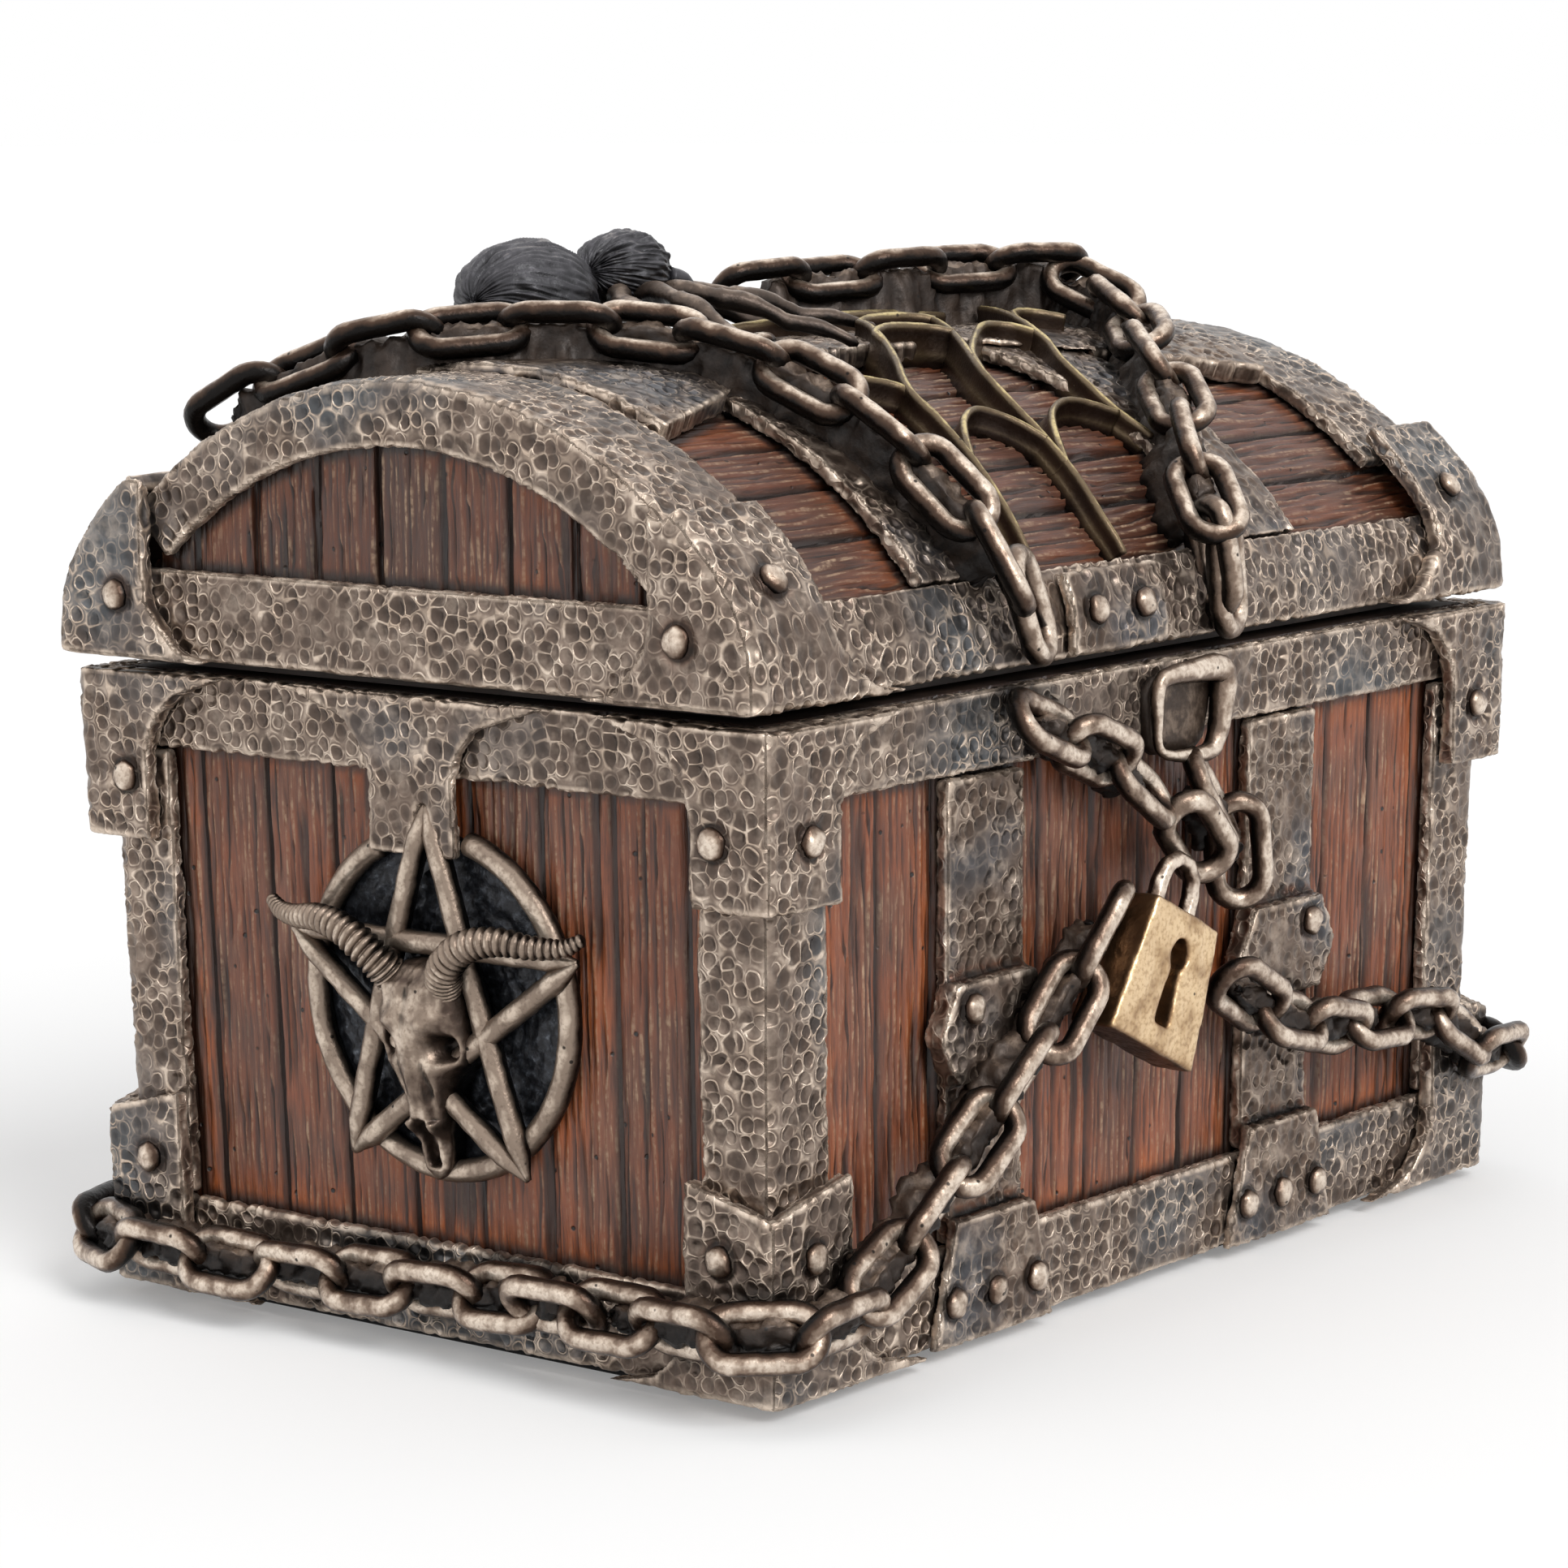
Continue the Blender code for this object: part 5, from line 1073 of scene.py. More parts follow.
# padlock: a wedge of brass with round edges and a deep keyhole
padlock = {"topHalf": 5.9, "bottomHalf": 7.9, "halfHeight": 6.9, "keyX": 0.3, "keyTop": 2.7, "keyRadius": 1.55,
           "neck": 0.75, "slotHalf": 1.35, "slotEnd": -4.3, "keyDepth": 2.6, "voxel": 0.2, "smoothing": 45}
lockPlace = face(frontTurn, chest["halfY"], lock["lift"], lock["x"], lock["z"]) @ Matrix.Rotation(lock["tilt"],
                                                                                                  4, "Z")
outline = [(-padlock["bottomHalf"], -padlock["halfHeight"]), (padlock["bottomHalf"], -padlock["halfHeight"]),
           (padlock["topHalf"], padlock["halfHeight"]), (-padlock["topHalf"], padlock["halfHeight"])]
start = math.asin(padlock["neck"] / padlock["keyRadius"])
turns = np.linspace(-math.pi / 2 + start, math.tau - math.pi / 2 - start, 17)
keyhole = [(padlock["keyX"] + padlock["keyRadius"] * math.cos(a),
            padlock["keyTop"] + padlock["keyRadius"] * math.sin(a))
           for a in turns]
keyhole += [(padlock["keyX"] + side * padlock["slotHalf"], padlock["slotEnd"]) for side in (-1, 1)]
obj = joined("padlock_body_cast", [prism(outline, 0.0, lock["thick"])], lockPlace)
hole = joined("keyhole", [prism(keyhole, lock["thick"] - padlock["keyDepth"], lock["thick"] + 2)], lockPlace)
remeshed(reshaped(obj, ("DIFFERENCE", hole)), padlock["voxel"], padlock["smoothing"])
hand(cast(obj, brass, (-0.2, -1, 0.1), 0.22, 3.0), "case", "aged_brass", "padlock_body")

# staple: a heavy bent bar over a dark plate, as the photograph shows it
stapleForm = {"left": -4.6, "right": 6.6, "top": 3.6, "bottom": -4.6, "wire": 1.15, "level": 2.6}
corners = ((-1.0, 0.6), (-0.78, 0.94), (0.1, 1.0), (0.78, 0.98), (1.02, 0.72), (0.98, 0.0), (0.84, -0.72),
           (0.5, -1.0), (-0.5, -0.92), (-0.92, -0.66), (-0.98, 0.0))
middle, wide = (stapleForm["left"] + stapleForm["right"]) / 2, (stapleForm["right"] - stapleForm["left"]) / 2
rise, high = (stapleForm["top"] + stapleForm["bottom"]) / 2, (stapleForm["top"] - stapleForm["bottom"]) / 2
knots = [(middle + wide * a, rise + high * b, stapleForm["level"]) for a, b in corners]
line = spline(knots + knots[:3], 8)[8:8 * (len(knots) + 1)]
staplePlace = face(frontTurn, chest["halfY"], chest["bandOut"] - 0.6, staple["x"], staple["z"])
thick = stapleForm["wire"] * (0.8 + 0.28 * (line[:, 0] - middle) / wide + 0.2 * (line[:, 1] - rise) / high)
castPiece("hasp_staple_cast", [rod(line, thick, 14, 1.0, True)], staplePlace, False, bronze, (-0.2, -1, 0.3),
          0.16, "rubbed_bronze", "hasp_staple")
outline = [(middle + wide * a, rise + high * b) for a, b in corners]
rings = [np.array([(middle + (x - middle) * share, rise + (z - rise) * share, level) for x, z in outline])
         for share, level in ((1.0, 0.0), (0.99, 1.1), (0.9, 1.5), (0.6, 1.55), (0.3, 1.55), (0.02, 1.55))]
castPiece("staple_plate", [ringSkin(rings)], staplePlace, False, recess, (0, -1, 0), 0.5, "rubbed_bronze", None,
          1.2)


def looseLink(name, spot, along, normal, lean, onLid=False, halfLong=5.0, halfWide=2.5, wire=1.12):
    # one more link where the photograph shows a chain going on
    along = along.normalized()
    side = along.cross(normal).normalized()
    across = side * math.cos(lean) + normal * math.sin(lean)
    turn = Matrix((along, across, along.cross(across))).transposed()
    line = np.array([spot + turn @ Vector(p) for p in loopLine(halfLong, halfWide)])
    bar = rod(line, np.full(len(line), wire), 14, 1.0, True)
    return castPiece(name, [bar], None, onLid, bronze, tuple(normal), 0.16, "rubbed_bronze")


for name, x, run, lift, lean, drift in (("lid_chain_right_end", 9.4, -44.6, 3.7, 70, 0.4),
                                        ("lid_chain_right_foot", 11.2, -46.2, 3.4, 14, 0.4),
                                        ("lid_chain_left_end", -21.6, -46.0, 3.3, 16, 2.2)):
    spot, normal = lidPoint(x, run, lift)
    ahead = lidPoint(x + drift, run - 4, lift - 0.4)[0]
    looseLink(name, spot, ahead - spot, normal, math.radians(lean), True)
spot, normal = casePoint(frontRun(1.2), 44.6, 5.6)
looseLink("chain_hang_left_end", spot, Vector((0.68, 0, -0.73)), normal, math.radians(-35), False, 4.6, 2.4)


# medallion on each end: a dark disc, a ring and star of round bars, and a goat skull with ribbed horns
medallion = {"z": 33.2, "shift": 1.5, "ring": 15.7, "wire": 1.15, "ringFrom": 26, "ringTo": 15, "disc": 15.5,
             "star": 18.7, "bar": 1.12, "ribs": 27, "horn": 1.7}
hornKnots = ((3.0, 2.2, 4.2), (4.4, 4.4, 5.6), (7.4, 6.7, 6.2), (11.0, 7.5, 5.9), (14.5, 7.2, 5.1),
             (17.4, 7.3, 4.2), (19.4, 8.2, 3.5))
skullHalf = ((-16.4, 0.15), (-16.0, 1.0), (-15.2, 1.6), (-14.0, 1.85), (-12.0, 2.0), (-10.0, 2.25), (-8.0, 2.7),
             (-6.2, 3.6), (-4.9, 4.9), (-3.4, 5.5), (-1.6, 5.2), (0.4, 4.9), (2.2, 4.7), (3.4, 3.9), (4.2, 2.4),
             (4.6, 0.4))
skullRise = ((-16.4, 0.2), (-15.4, 0.9), (-13.5, 1.3), (-12.0, 1.7), (-10.6, 2.9), (-8.0, 3.4), (-5.0, 4.0),
             (-2.5, 4.5), (0.0, 4.5), (2.4, 3.9), (3.8, 2.6), (4.6, 0.6))


def dip(x, y, atX, atY, wide, high):
    return np.exp(-((x - atX) / wide) ** 2 - ((y - atY) / high) ** 2)


def skullShape():
    rings = []
    for y in np.arange(-16.4, 4.61, 0.17):
        half = np.interp(y, *zip(*skullHalf))
        rise = np.interp(y, *zip(*skullRise))
        share = np.sin(np.linspace(-1, 1, 61) * math.pi / 2)
        x = half * share
        level = 2.5 + rise * np.sqrt(np.clip(1 - np.abs(share) ** 2.6, 0, 1))
        ax = np.abs(x)
        hollow = np.clip(1.35 * dip(ax, y, 3.35, -3.3, 1.55, 1.45) ** 2, 0, 1)
        level -= 3.4 * hollow * (rise / 4.4)
        level += 0.55 * dip(ax, y, 2.2, -1.0, 1.3, 0.9) + 0.5 * dip(ax, y, 4.9, -3.6, 0.5, 1.8)
        level += 0.5 * dip(ax, y, 3.4, 2.4, 1.3, 1.0)
        level += 0.45 * math.exp(-((y + 6.0) / 3.4) ** 2) * np.exp(-(x / 0.75) ** 2)
        level -= 0.6 * dip(ax, y, 1.5, -7.5, 0.42, 2.8)
        nose = np.clip((-10.2 - y) / 0.8, 0, 1) * np.clip((y + 15.3) / 0.6, 0, 1)
        level -= 1.5 * nose * np.exp(-(x / 0.75) ** 4)
        tip = np.clip((-10.3 - y) / 0.5, 0, 1) * np.clip((y + 12.9) / 1.6, 0, 1)
        level += 1.0 * tip * np.exp(-((ax - 1.45) / 0.5) ** 2)
        level -= 0.35 * dip(x, y, 0, 1.4, 0.5, 1.6)
        bone = [noise.noise(Vector((u * 1.1, y * 0.45, 3.0)))
                + 0.6 * noise.noise(Vector((u * 2.6, y * 1.1, 7.0))) for u in x]
        level = np.maximum(level + 0.16 * np.array(bone), 1.2)
        front = np.stack([x, np.full(61, y), level], 1)
        rings.append(np.vstack([front, [(half, y, 1.0), (-half, y, 1.0)]]))
    return ringSkin(rings)


def hornShape(side):
    line = spline(hornKnots, 48)
    t = np.linspace(0, 1, len(line))
    ribs = 0.70 + 0.40 * np.abs(np.sin(math.pi * medallion["ribs"] * t ** 0.86)) ** 0.6
    radii = medallion["horn"] * (1 - 0.66 * t ** 1.4) * ribs
    line[:, 0] *= side
    return rod(line, radii, 18)


def medallionOn(side):
    turn, outward = (leftTurn, (-1, 0, 0)) if side == "left" else (rightTurn, (1, 0, 0))
    shift = medallion["shift"] if side == "left" else -medallion["shift"]
    place = face(turn, chest["halfX"], 0, shift, medallion["z"])
    spread = np.linspace(0, math.tau, 121)[:-1]
    rings = [np.stack([r * np.cos(spread), r * np.sin(spread), np.full(120, level)], 1) for r, level in (
        [(medallion["disc"], -0.3), (medallion["disc"], 0.3), (medallion["disc"] - 0.2, 0.55)]
        + [(r, 0.65) for r in np.arange(medallion["disc"] - 0.7, 0.2, -0.4)])]
    pieces = [("medallion_disc_", [ringSkin(rings)], enamel, 0.8, 1.0)]
    ends = (medallion["ringFrom"], medallion["ringTo"]) if side == "left" else (medallion["ringTo"],
                                                                                medallion["ringFrom"])
    arc = np.radians(np.linspace(90 + ends[0], 450 - ends[1], 120))
    line = np.stack([medallion["ring"] * np.cos(arc), medallion["ring"] * np.sin(arc), np.full(120, 1.35)], 1)
    pieces.append(("medallion_ring_", [rod(line, np.full(120, medallion["wire"]), 14)], dullBronze, 0.14, 1.4))
    tips = [(medallion["star"] * math.cos(a), medallion["star"] * math.sin(a)) for a in (
        math.radians(90 + 72 * k) for k in range(5))]
    bars = []
    for k in range(5):
        start, end = (np.array((*tips[i], 2.5)) for i in (k, (k + 2) % 5))
        shares = np.concatenate([np.linspace(0, 0.09, 7), np.linspace(0.12, 0.88, 30), np.linspace(0.91, 1, 7)])
        radii = medallion["bar"] * np.minimum(1, 0.3 + np.minimum(shares, 1 - shares) / 0.09 * 0.7)
        line = start + shares[:, None] * (end - start)
        line[:, 2] += 0.35 * np.sin(math.pi * shares)
        bars.append(rod(line, radii, 12, 1.05))
    pieces.append(("medallion_star_", bars, dullBronze, 0.18, 1.4))
    pieces.append(("goat_skull_", [skullShape(), hornShape(-1), hornShape(1)], dullBronze, 0.10, 0.8))
    for name, shapes, metal, uneven, grainSize in pieces:
        castPiece(name + side + "_cast", shapes, place, False, metal, outward, uneven, "rubbed_bronze",
                  name + side, grainSize)


for side in ("left", "right"):
    medallionOn(side)
print("medallions made")


def plankDrop(spot):
    # how far a point stands above the lid planks
    rows = np.linspace(-rimRun, rimRun, bed["rows"])
    return min((lidPoint(spot[0], run, 0.0)[0] - Vector(spot)).length for run in rows)


def bedShape(spots, onLid):
    # the dark mass that the casting leaves under a chain and in its links, tapered towards both ends; its dark
    # colour is partly painted shade under the chain
    line = spline([tuple(centre) for centre, _, _ in spots], bed["steps"])
    normals = spline([tuple(normal) for _, _, normal in spots], bed["steps"])
    way = np.gradient(line, axis=0)
    lengths = np.concatenate([[0], np.cumsum(np.linalg.norm(np.diff(line, axis=0), axis=1))])
    ends = np.minimum(lengths, lengths[-1] - lengths)
    widths = np.clip(0.25 + 0.75 * ends / bed["taper"], 0, 1)
    rings = []
    for k, (spot, along, normal, share) in enumerate(zip(line, way, normals, widths)):
        side = np.cross(along, normal)
        side /= np.linalg.norm(side)
        up = normal / np.linalg.norm(normal)
        base = -max(chainRise, plankDrop(spot) if onLid else 0.0) - bed["under"]
        swell = 0.32 * abs(math.cos(math.pi * k / bed["steps"]))
        share *= 0.82 + 0.25 * noise.noise(Vector(spot) * 0.5) + swell
        top = base + (bed["lift"] - base) * min(1, share ** 0.5)
        wide = (bed["foot"], bed["waist"], bed["shoulder"], bed["shoulder"] * 0.86, bed["shoulder"] * 0.5)
        high = (base, base * 0.45, top * 0.2 - 0.1, top * 0.7, top)
        profile = [(a * share, b) for a, b in zip(wide, high)]
        profile += [(-a, b) for a, b in profile[::-1]]
        fine = np.linspace(0, len(profile) - 1, bed["across"])
        profile = np.stack([np.interp(fine, range(len(profile)), column) for column in zip(*profile)], 1)
        rings.append(np.array([spot + side * a + up * b for a, b in profile]))
    return ringSkin(rings)


for name, spots, onLid in chainBeds:
    castPiece(name + "_bed", [bedShape(spots, onLid)], None, onLid, recess, (0, -0.4, 1), 1.3,
              "rubbed_bronze", None, 1.5)
print("chain beds made")

# web: threads (x, run, height over the planks) that stand on fins, as they are cast
web = {"half": 0.4, "top": 0.42, "steps": 5}
webThreads = (
    ((3.9, -2.4, 3.9), (1.0, -6.0, 3.9), (-5.9, -13.6, 3.4), (-11.2, -19.8, 2.7), (-12.6, -25.9, 2.2),
     (-13.7, -30.6, 2.0), (-15.6, -37.6, 1.9), (-16.6, -42.7, 1.5)),
    ((26.0, 3.0, 3.5), (18.5, 0.6, 3.8), (14.4, -4.6, 3.6), (8.1, -11.4, 3.5), (2.7, -17.8, 3.2),
     (0.8, -23.3, 2.6), (0.1, -28.8, 2.1), (-0.8, -33.8, 2.0), (-1.9, -38.9, 1.9), (-1.6, -42.7, 1.5)),
    ((29.0, 0.5, 4.0), (26.6, -3.5, 4.0), (23.5, -8.1, 3.9), (20.2, -13.4, 3.5), (17.5, -17.7, 2.9),
     (16.2, -24.5, 2.1), (17.3, -29.8, 1.8)),
    ((-18.0, -15.5, 2.8), (-14.6, -16.8, 2.7), (-11.3, -18.6, 2.5), (-11.4, -21.8, 2.3), (-12.5, -25.7, 2.2)),
    ((0.1, -28.8, 2.1), (-1.2, -26.5, 2.2), (-2.5, -24.7, 2.2), (-5.0, -23.5, 2.3), (-8.1, -24.5, 2.2),
     (-10.9, -26.8, 2.1), (-13.4, -29.8, 2.0)),
    ((-0.6, -32.2, 2.0), (2.6, -27.9, 2.1), (5.8, -25.0, 2.2), (9.6, -23.5, 2.2), (12.5, -23.9, 2.2),
     (16.0, -26.0, 2.0)),
    ((2.7, -17.8, 3.2), (5.6, -14.6, 3.5), (11.5, -10.8, 3.7), (17.4, -7.8, 3.8), (20.6, -8.6, 3.7),
     (21.6, -11.0, 3.6)),
    ((24.2, -7.0, 3.9), (26.4, -5.2, 4.2), (29.2, -5.2, 4.2), (32.0, -7.6, 3.8)),
    ((-3.4, -11.0, 3.6), (-1.6, -8.2, 4.0), (3.0, -6.6, 4.1), (8.0, -7.2, 3.9), (10.6, -9.0, 3.6)),
    ((3.9, -2.4, 3.9), (8.0, -1.0, 4.1), (13.0, -1.4, 4.1), (16.0, -3.0, 3.7)),
    ((-10.0, 5.0, 3.6), (0.0, 3.6, 4.2), (12.0, 3.6, 4.3), (22.0, 4.6, 4.0), (32.0, 4.0, 3.4)),
    ((-8.0, 9.0, 3.4), (2.0, 11.5, 3.8), (12.0, 11.0, 4.2), (22.0, 9.0, 4.0), (33.0, 8.0, 3.4)),
    ((8.0, 3.5, 4.1), (10.0, 7.0, 3.9), (12.0, 11.0, 4.2)),
    ((20.0, 4.5, 4.0), (22.5, 7.0, 3.8), (22.0, 9.0, 4.0)))


def threadShape(knots):
    # a thin wall with a rounded gold top, standing on the barrel
    line = spline(knots, web["steps"] * 3)
    ups = np.array([lidPoint(x, run, rise)[1] for x, run, rise in line])
    spots = np.array([lidPoint(x, run, rise)[0] for x, run, rise in line])
    along = np.gradient(spots, axis=0)
    along /= np.linalg.norm(along, axis=1)[:, None]
    rings = []
    for k, (spot, up, way) in enumerate(zip(spots, ups, along)):
        side = np.cross(way, up)
        side /= np.linalg.norm(side)
        half, top, deep = web["half"], web["top"], line[k, 2] + 0.4
        profile = ((half, -0.15), (half * 0.8, top * 0.6), (0, top), (-half * 0.8, top * 0.6), (-half, -0.15),
                   (-half * 0.7, -0.6), (-half * 1.1, -deep * 0.6), (-half * 2.5, -deep),
                   (half * 2.5, -deep), (half * 1.1, -deep * 0.6), (half * 0.7, -0.6))
        rings.append([spot + side * a + up * b for a, b in profile])
    return ringSkin([np.array(ring) for ring in rings])


castPiece("web_threads_cast", [threadShape(knots) for knots in webThreads], None, True, gilt, (0, -0.35, 1),
          0.08, "dull_gilt", "web_threads", 1.0)

# spider: ball body and head with combed hair, eight knotted legs
spider = {"tail": (-29.7, 12.0, 95.9), "tailHalf": (7.4, 6.6, 5.7), "head": (-17.6, 10.0, 98.3),
          "headHalf": (5.0, 4.5, 3.9), "hair": 0.24, "leg": 1.15, "segments": (0.98, 0.86, 0.66),
          "lifts": (7.6, 6.9, 4.6, 3.0)}
spiderLegs = (
    ((-20.0, 7.5), (-25.0, 3.5), (-28.5, -3.0), (-31.0, -9.0)),
    ((-18.5, 6.0), (-21.0, 0.0), (-21.5, -5.5), (-24.0, -10.5)),
    ((-16.0, 6.2), (-13.5, 1.0), (-9.0, -3.5), (-4.5, -8.5)),
    ((-14.2, 7.6), (-7.0, 4.0), (0.0, 1.5), (7.0, -2.5)),
    ((-14.0, 10.5), (-6.0, 10.0), (1.0, 8.5), (9.0, 6.5)),
    ((-15.0, 13.0), (-8.0, 17.0), (-2.0, 21.0), (4.0, 25.0)),
    ((-18.0, 14.5), (-16.0, 20.0), (-16.0, 25.5), (-15.0, 30.0)),
    ((-20.5, 13.6), (-24.0, 19.0), (-26.0, 24.0), (-29.0, 29.0)))


def combedBall(centre, half, lean):
    # stretched ball whose poles lie along the body, with fine strokes from pole to pole
    rings = []
    for u in np.linspace(0.03, math.pi - 0.03, 90):
        ring = []
        for v in np.linspace(0, math.tau, 241)[:-1]:
            way = Vector((math.cos(u), math.sin(u) * math.cos(v), math.sin(u) * math.sin(v)))
            stroke = noise.noise(Vector((math.cos(v + lean * u) * 12, math.sin(v + lean * u) * 12, u * 2.4)))
            stroke += 0.5 * noise.noise(Vector((way.x * 3, way.y * 3, way.z * 3)))
            push = spider["hair"] * stroke * 1.6
            ring.append([c + w * (h + push) for c, w, h in zip(centre, way, half)])
        rings.append(np.array(ring))
    return ringSkin(rings)


def legShape(knots):
    spots = [lidPoint(x, run, lift)[0] for (x, run), lift in zip(knots, spider["lifts"])]
    line, radii = [], []
    for k, (a, b) in enumerate(zip(spots, spots[1:])):
        for t in np.linspace(0, 1, 13)[:-1]:
            line.append(a.lerp(b, t) + Vector((0, 0, 0.5 * math.sin(math.pi * t))))
            belly = 0.34 * math.sin(math.pi * min(1, t * 1.25 + 0.1)) ** 1.2
            knuckle = 0.30 * math.exp(-(t / 0.09) ** 2)
            radii.append(spider["leg"] * spider["segments"][k] * (0.78 + belly + knuckle))
    line.append(spots[-1])
    radii.append(0.2)
    return rod(np.array([tuple(p) for p in line]), radii, 12)


def jaw(side):
    line = spline(((-14.0, 8.4 + side * 1.3, 97.6), (-12.2, 8.0 + side * 1.5, 97.0),
                   (-11.4, 7.6 + side * 1.2, 95.2)), 8)
    return rod(line, np.linspace(1.1, 0.45, len(line)), 12)


tail = combedBall(spider["tail"], spider["tailHalf"], 0.55)
head = combedBall(spider["head"], spider["headHalf"], 0.2)
legs = [legShape(knots) for knots in spiderLegs]
for name, shapes, metal, uneven, node, grainSize in (
        ("spider_abdomen_cast", [tail], charcoal, 0.22, "spider_abdomen", 2.2),
        ("spider_head_cast", [head, jaw(-1), jaw(1)], charcoal, 0.22, "spider_head", 1.6),
        ("spider_legs", legs, umber, 0.16, None, 1.0)):
    castPiece(name, shapes, None, True, metal, (0, 0, 1), uneven, "charcoal_paint", node, grainSize)
print("cast pieces made")


# boards
woodwork = {"caseFront": 14, "caseEnd": 9, "columns": 27, "row": 1.0, "lidBoards": 13, "lidColumns": 24,
            "lidRow": 0.9, "endBoards": 9, "endHalf": 35.3, "endVoxel": 0.36, "skin": 1.2, "edge": 0.1,
            "far": 60.0}
lidInside = {"restInset": 1.5, "restUp": 2.2, "lipGap": 2.0, "lipDown": 4.5, "lipUp": 1.1, "lipWall": 2.2,
             "roof": 5.5, "holeDown": 14.5}


def boardTree():
    put, inputs = newTree("carvedGrain", [
        ("Grain depth", "Float", 0.45 * mm), ("Groove depth", "Float", 0.8 * mm),
        ("Crack depth", "Float", 0.4 * mm),
        ("Plates", "Object", None), ("Chains", "Object", None), ("Paint", "Material", None)])
    joint, carve = (put("named", label, data_type="FLOAT") for label in ("joint", "carve"))
    field = grainField(put, put("named", "board", data_type="FLOAT_VECTOR"))
    groove = put("smoothRange", joint, 0.0, 0.75, inputs["Groove depth"], 0.0)
    ridge = put("times", put("minus", field["ridge"], 0.62), inputs["Grain depth"])
    crack = put("times", field["crack"], inputs["Crack depth"])
    push = put("minus", put("minus", ridge, groove), crack)
    body = pushed(put, inputs["Geometry"], put("times", push, carve))
    body = withDistances(put, body, (("plate", inputs["Plates"], "FACES"),
                                      ("chain", inputs["Chains"], "FACES")))
    return closeTree(put, body, inputs["Paint"])


carving = boardTree()
carvedBy = {"Plates": plateGuide, "Chains": chainGuide, "Paint": boards}


def setBoards(obj, rule):
    # rule turns points in mm into (across, along, plank), distance to the joint and how much is carved
    for label, values in zip(("board", "joint", "carve"), rule(floats(obj.data.vertices, "co", 3) / mm)):
        setField(obj, label, values)
    return obj


def plankRule(across, along, half, count, seed):
    # planks of equal width between -half and half
    width = 2 * half / count
    share = (across + half) / width
    plank = np.clip(np.floor(share), 0, count - 1)
    joint = np.abs(share - np.round(share)) * width
    joint = np.where((np.round(share) <= 0) | (np.round(share) >= count), width, joint)
    return np.stack([across - (plank + 0.5) * width + half, along, plank * 3.7 + seed], 1), joint


def caseRule(points):
    taper = taperAt(points[:, 2])
    x, y, z = points[:, 0] / taper, points[:, 1] / taper, points[:, 2]
    onFront = np.abs(y) / chest["halfY"] > np.abs(x) / chest["halfX"]
    frontBoard, frontJoint = plankRule(x, z, chest["halfX"], woodwork["caseFront"], 11.0)
    endBoard, endJoint = plankRule(y, z, chest["halfY"], woodwork["caseEnd"], 83.0)
    frontBoard[:, 2] += np.where(y > 0, woodwork["far"], 0.0)
    endBoard[:, 2] += np.where(x > 0, woodwork["far"], 0.0)
    board = np.where(onFront[:, None], frontBoard, endBoard)
    joint = np.where(onFront, frontJoint, endJoint)
    wall = np.maximum(np.abs(x) - chest["halfX"], np.abs(y) - chest["halfY"]) > -woodwork["skin"]
    wall &= (z > chest["foot"] + woodwork["edge"]) & (z < chest["height"] - woodwork["edge"])
    return board, joint, wall.astype(float)


def block(name, lo, hi):
    corners = [(x, y, z) for z in (lo[2], hi[2]) for x, y in (
        (lo[0], lo[1]), (hi[0], lo[1]), (hi[0], hi[1]), (lo[0], hi[1]))]
    return meshObject(name, corners, [(3, 2, 1, 0), (4, 5, 6, 7), (0, 1, 5, 4), (1, 2, 6, 5), (2, 3, 7, 6),
                                      (3, 0, 4, 7)])


def paintInside(obj, test):
    # faces that the test finds get the plain inside paint
    obj.data.materials.append(inside)
    hit = test(floats(obj.data.polygons, "center", 3) / mm)
    obj.data.polygons.foreach_set("material_index", hit.astype(np.int32) * (len(obj.data.materials) - 1))
    flat = np.ones(len(hit), bool)
    flat[hit] = False
    obj.data.polygons.foreach_set("use_smooth", flat)
    obj.data.update()


def caseBoards():
    half = {0: chest["halfX"], 1: chest["halfY"]}
    outline = []
    for side in range(4):
        count = (woodwork["caseFront"] if side % 2 == 0 else woodwork["caseEnd"]) * woodwork["columns"]
        spin = Matrix.Rotation(side * math.pi / 2, 2)
        for k in range(count):
            u = -half[side % 2] + 2 * half[side % 2] * k / count
            outline.append(tuple(spin @ Vector((u, -half[1 - side % 2]))))
    outline = np.array(outline)
    rows = np.linspace(chest["foot"], chest["height"],
                       int((chest["height"] - chest["foot"]) / woodwork["row"]) + 1)
    rings = [np.column_stack([outline * taperAt(z), np.full(len(outline), z)]) for z in rows]
    obj = meshObject("case_boards", *ringSkin(rings))
    setBoards(obj, caseRule)
    worked(obj, carving, carvedBy)
    inX, inY = chest["halfX"] - chest["wall"], chest["halfY"] - chest["wall"]
    low = chest["foot"] + chest["floor"]
    hole = block("caseHole", (-inX, -inY, low), (inX, inY, chest["height"] + 10))
    hole.data.vertices.foreach_set("co", (settle(floats(hole.data.vertices, "co", 3) / mm, False) * mm).ravel())
    reshaped(obj, ("DIFFERENCE", hole))
    setBoards(obj, caseRule)

    def isInside(points):
        x, y, z = np.abs(points.T)
        taper, near = taperAt(z), woodwork["edge"] / 2
        deep = (x < inX * taper + near) & (y < inY * taper + near) & (z > low - woodwork["edge"])
        return deep | (z > chest["height"] - near) | (z < chest["foot"] + near)

    paintInside(obj, isInside)
    return hand(obj, "case", "painted_wood", "case_shell")


lidCoreHalf = chest["lidHalfX"] - 1.3


def lidRule(points):
    x, z = points[:, 0], points[:, 2]
    run, rise = lidRun(points)
    board, joint = plankRule(run, x, rimRun - chest["lidRim"], woodwork["lidBoards"], 140.0)
    outer = (rise > -woodwork["skin"]) & (z > chest["lidBottom"] + woodwork["edge"])
    outer &= np.abs(x) < lidCoreHalf - woodwork["edge"] / 2
    return board, joint, outer.astype(float)


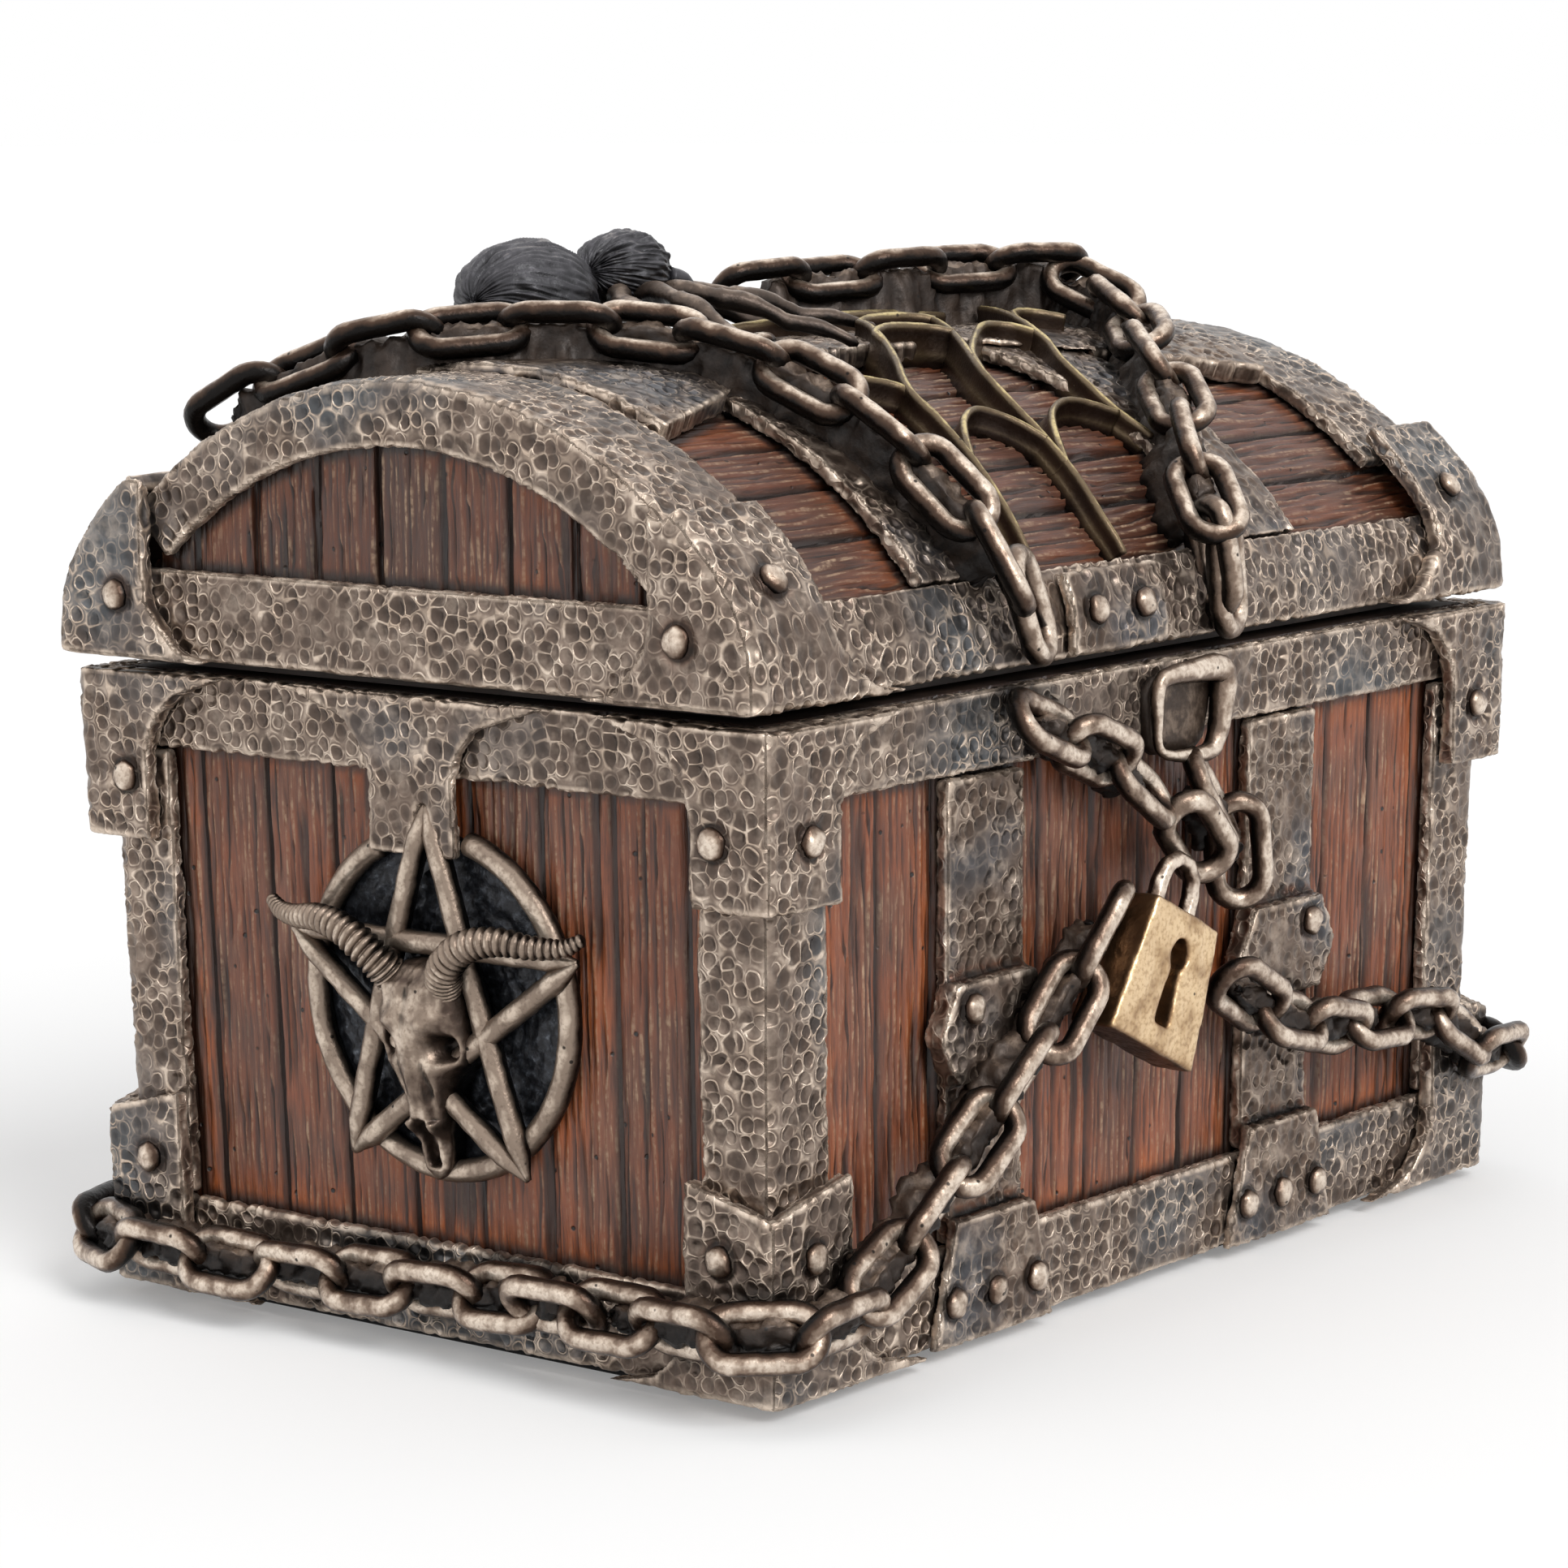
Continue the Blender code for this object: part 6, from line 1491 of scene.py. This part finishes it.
def lidBoards():
    last = rimRun - chest["lidRim"]
    count = woodwork["lidBoards"] * woodwork["lidColumns"]
    runs = list(np.linspace(-last, last, count + 1))
    runs = list(np.linspace(-rimRun, -last, 12)[:-1]) + runs + list(np.linspace(last, rimRun, 12)[1:])
    section = [lidSection(t, 0)[:2] for t in runs]
    xs = np.linspace(-lidCoreHalf, lidCoreHalf, int(2 * lidCoreHalf / woodwork["lidRow"]) + 1)
    rings = [np.array([(x, y + chest["setBack"], z) for y, z in section]) for x in xs]
    obj = meshObject("lid_boards", *ringSkin(rings))
    setBoards(outwards(obj), lidRule)
    worked(obj, carving, carvedBy)
    back = chest["setBack"]
    restZ, roof = chest["height"] + chest["gap"], crownRadius - lidInside["roof"]
    restX, restY = (chest[half] - lidInside["restInset"] for half in ("halfX", "halfY"))
    lipX, lipY = (chest[half] - chest["wall"] - lidInside["lipGap"] for half in ("halfX", "halfY"))
    inX, inY, low = lipX - lidInside["lipWall"], lipY - lidInside["lipWall"], restZ - lidInside["holeDown"]
    reach = math.asin(inY / roof)
    arch = [(roof * math.sin(a), crownCentre + roof * math.cos(a)) for a in np.linspace(-reach, reach, 33)]
    outline = [(-inY, low)] + arch + [(inY, low)]
    rest = block("lidRest", (-restX, -restY + back, restZ),
                 (restX, restY + back, chest["lidBottom"] + lidInside["restUp"]))
    lip = block("lidLip", (-lipX, -lipY + back, restZ - lidInside["lipDown"]),
                (lipX, lipY + back, chest["lidBottom"] + lidInside["lipUp"]))
    rings = [np.array([(x, y + back, z) for y, z in outline]) for x in (-inX, inX)]
    hole = outwards(meshObject("lidHole", *ringSkin(rings)))
    reshaped(obj, ("UNION", rest), ("UNION", lip), ("DIFFERENCE", hole))
    setBoards(obj, lidRule)
    paintInside(obj, lambda points: lidRule(points)[2] < 0.5)
    return hand(obj, "lid", "painted_wood", "lid_shell")


def endRule(points):
    y, z = points[:, 1] - chest["setBack"], points[:, 2]
    board, joint = plankRule(y, z, woodwork["endHalf"], woodwork["endBoards"], 300.0)
    board[:, 2] += np.where(points[:, 0] > 0, woodwork["far"], 0.0)
    return board, joint, (np.abs(points[:, 0]) > chest["lidHalfX"] - 0.4).astype(float)


caseBoards()
lidBoards()
for where in ("left", "right"):
    name = "lid_end_panel_" + where
    obj = remeshed(castCopy(name + "_boards", name), woodwork["endVoxel"], 2)
    setBoards(obj, endRule)
    worked(obj, carving, carvedBy)
    hand(obj, "lid", "painted_wood", name)
print("boards carved")

pad = {"inset": 1.3, "thick": 1.28, "round": 3.0}
halfX, halfY = (chest[side] * taperAt(0) - pad["inset"] - pad["round"] for side in ("halfX", "halfY"))
outline = [(signX * halfX + pad["round"] * math.cos(a + start),
            signY * halfY + pad["round"] * math.sin(a + start))
           for signX, signY, start in ((1, 1, 0), (-1, 1, math.pi / 2), (-1, -1, math.pi),
                                       (1, -1, math.pi * 1.5))
           for a in np.linspace(0, math.pi / 2, 9)]
rings = [np.array([(x * share, y * share, z) for x, y in outline]) for share, z in (
    (0.995, 0.0), (1.0, 0.2), (1.0, pad["thick"] - 0.2), (0.997, pad["thick"]))]
base = joined("base_felt_pad", [ringSkin(rings)])
base.data.materials.append(felt)
hand(base, "case", "dark_felt", "base_felt")
for helper in (chainGuide, plateGuide, rivetGuide):
    bpy.data.objects.remove(helper, do_unlink=True)


# camera, light and floor
view = {"place": (-382.062, -296.660, 117.373), "right": (0.61984585, -0.78467928, -0.00833944),
        "up": (0.12050982, 0.08468304, 0.98909361), "back": (-0.77541505, -0.61409055, 0.14705199),
        "lens": 111.0, "shift": (0.002, 0.0047)}
camera = bpy.data.cameras.new("camera")
camera.lens, camera.sensor_width = view["lens"], 36.0
camera.shift_x, camera.shift_y = view["shift"]
camera.clip_start, camera.clip_end = 0.01, 20.0
eye = placed("camera", camera)
turn = Matrix((view["right"], view["up"], view["back"])).transposed().to_4x4()
eye.matrix_world = Matrix.Translation(Vector(view["place"]) * mm) @ turn
bpy.context.scene.camera = eye
bpy.context.scene.view_settings.view_transform = "Standard"

for name, way, spread, power in (("key", (-0.26, -0.88, 0.72), 32, 1.84), ("top", (0.15, 0.25, 1.0), 90, 0.65),
                                 ("side", (-1.0, 0.15, 0.45), 80, 0.38)):
    lamp = bpy.data.lights.new(name, "SUN")
    lamp.angle, lamp.energy = math.radians(spread), power
    obj = placed(name, lamp)
    obj.location = Vector(way)
    obj.rotation_mode = "QUATERNION"
    obj.rotation_quaternion = Vector(way).to_track_quat("Z", "Y")



def seenRays(put):
    # 1 for rays that look at a surface, 0 for rays that light one
    rays = put("light").node.outputs
    return put("larger", rays["Is Camera Ray"], rays["Is Glossy Ray"]), rays["Is Transmission Ray"]


room = {"light": 0.42, "white": 1.0, "floorSide": 6.0, "floorGlow": 0.22, "floorGrey": 0.8}
surround = bpy.data.worlds.new("surround")
surround.use_nodes = True
put = nodesOf(surround.node_tree)
sky = surround.node_tree.nodes["Background"]
sky.inputs["Color"].default_value = (1, 1, 1, 1)
strength = put("range", put("larger", *seenRays(put)), 0.0, 1.0, room["light"], room["white"])
surround.node_tree.links.new(strength, sky.inputs["Strength"])
bpy.context.scene.world = surround

floor = meshObject("floor", np.array([(-1, -1, 0), (1, -1, 0), (1, 1, 0), (-1, 1, 0)]) * room["floorSide"] / mm,
                   [(0, 1, 2, 3)])
stuff, put, shader, place = newMaterial("paleSweep")
shader.inputs["Base Color"].default_value = (room["floorGrey"],) * 3 + (1,)
shader.inputs["Roughness"].default_value = 0.9
shader.inputs["Specular IOR Level"].default_value = 0.0
shader.inputs["Emission Color"].default_value = (1, 1, 1, 1)
link(shader, glow=put("times", seenRays(put)[0], room["floorGlow"]))
floor.data.materials.append(stuff)

total = sum(len(obj.data.loop_triangles) or len(obj.data.polygons) for obj in bpy.data.objects
            if obj.type == "MESH" and not obj.hide_render)
print("faces shown:", total)
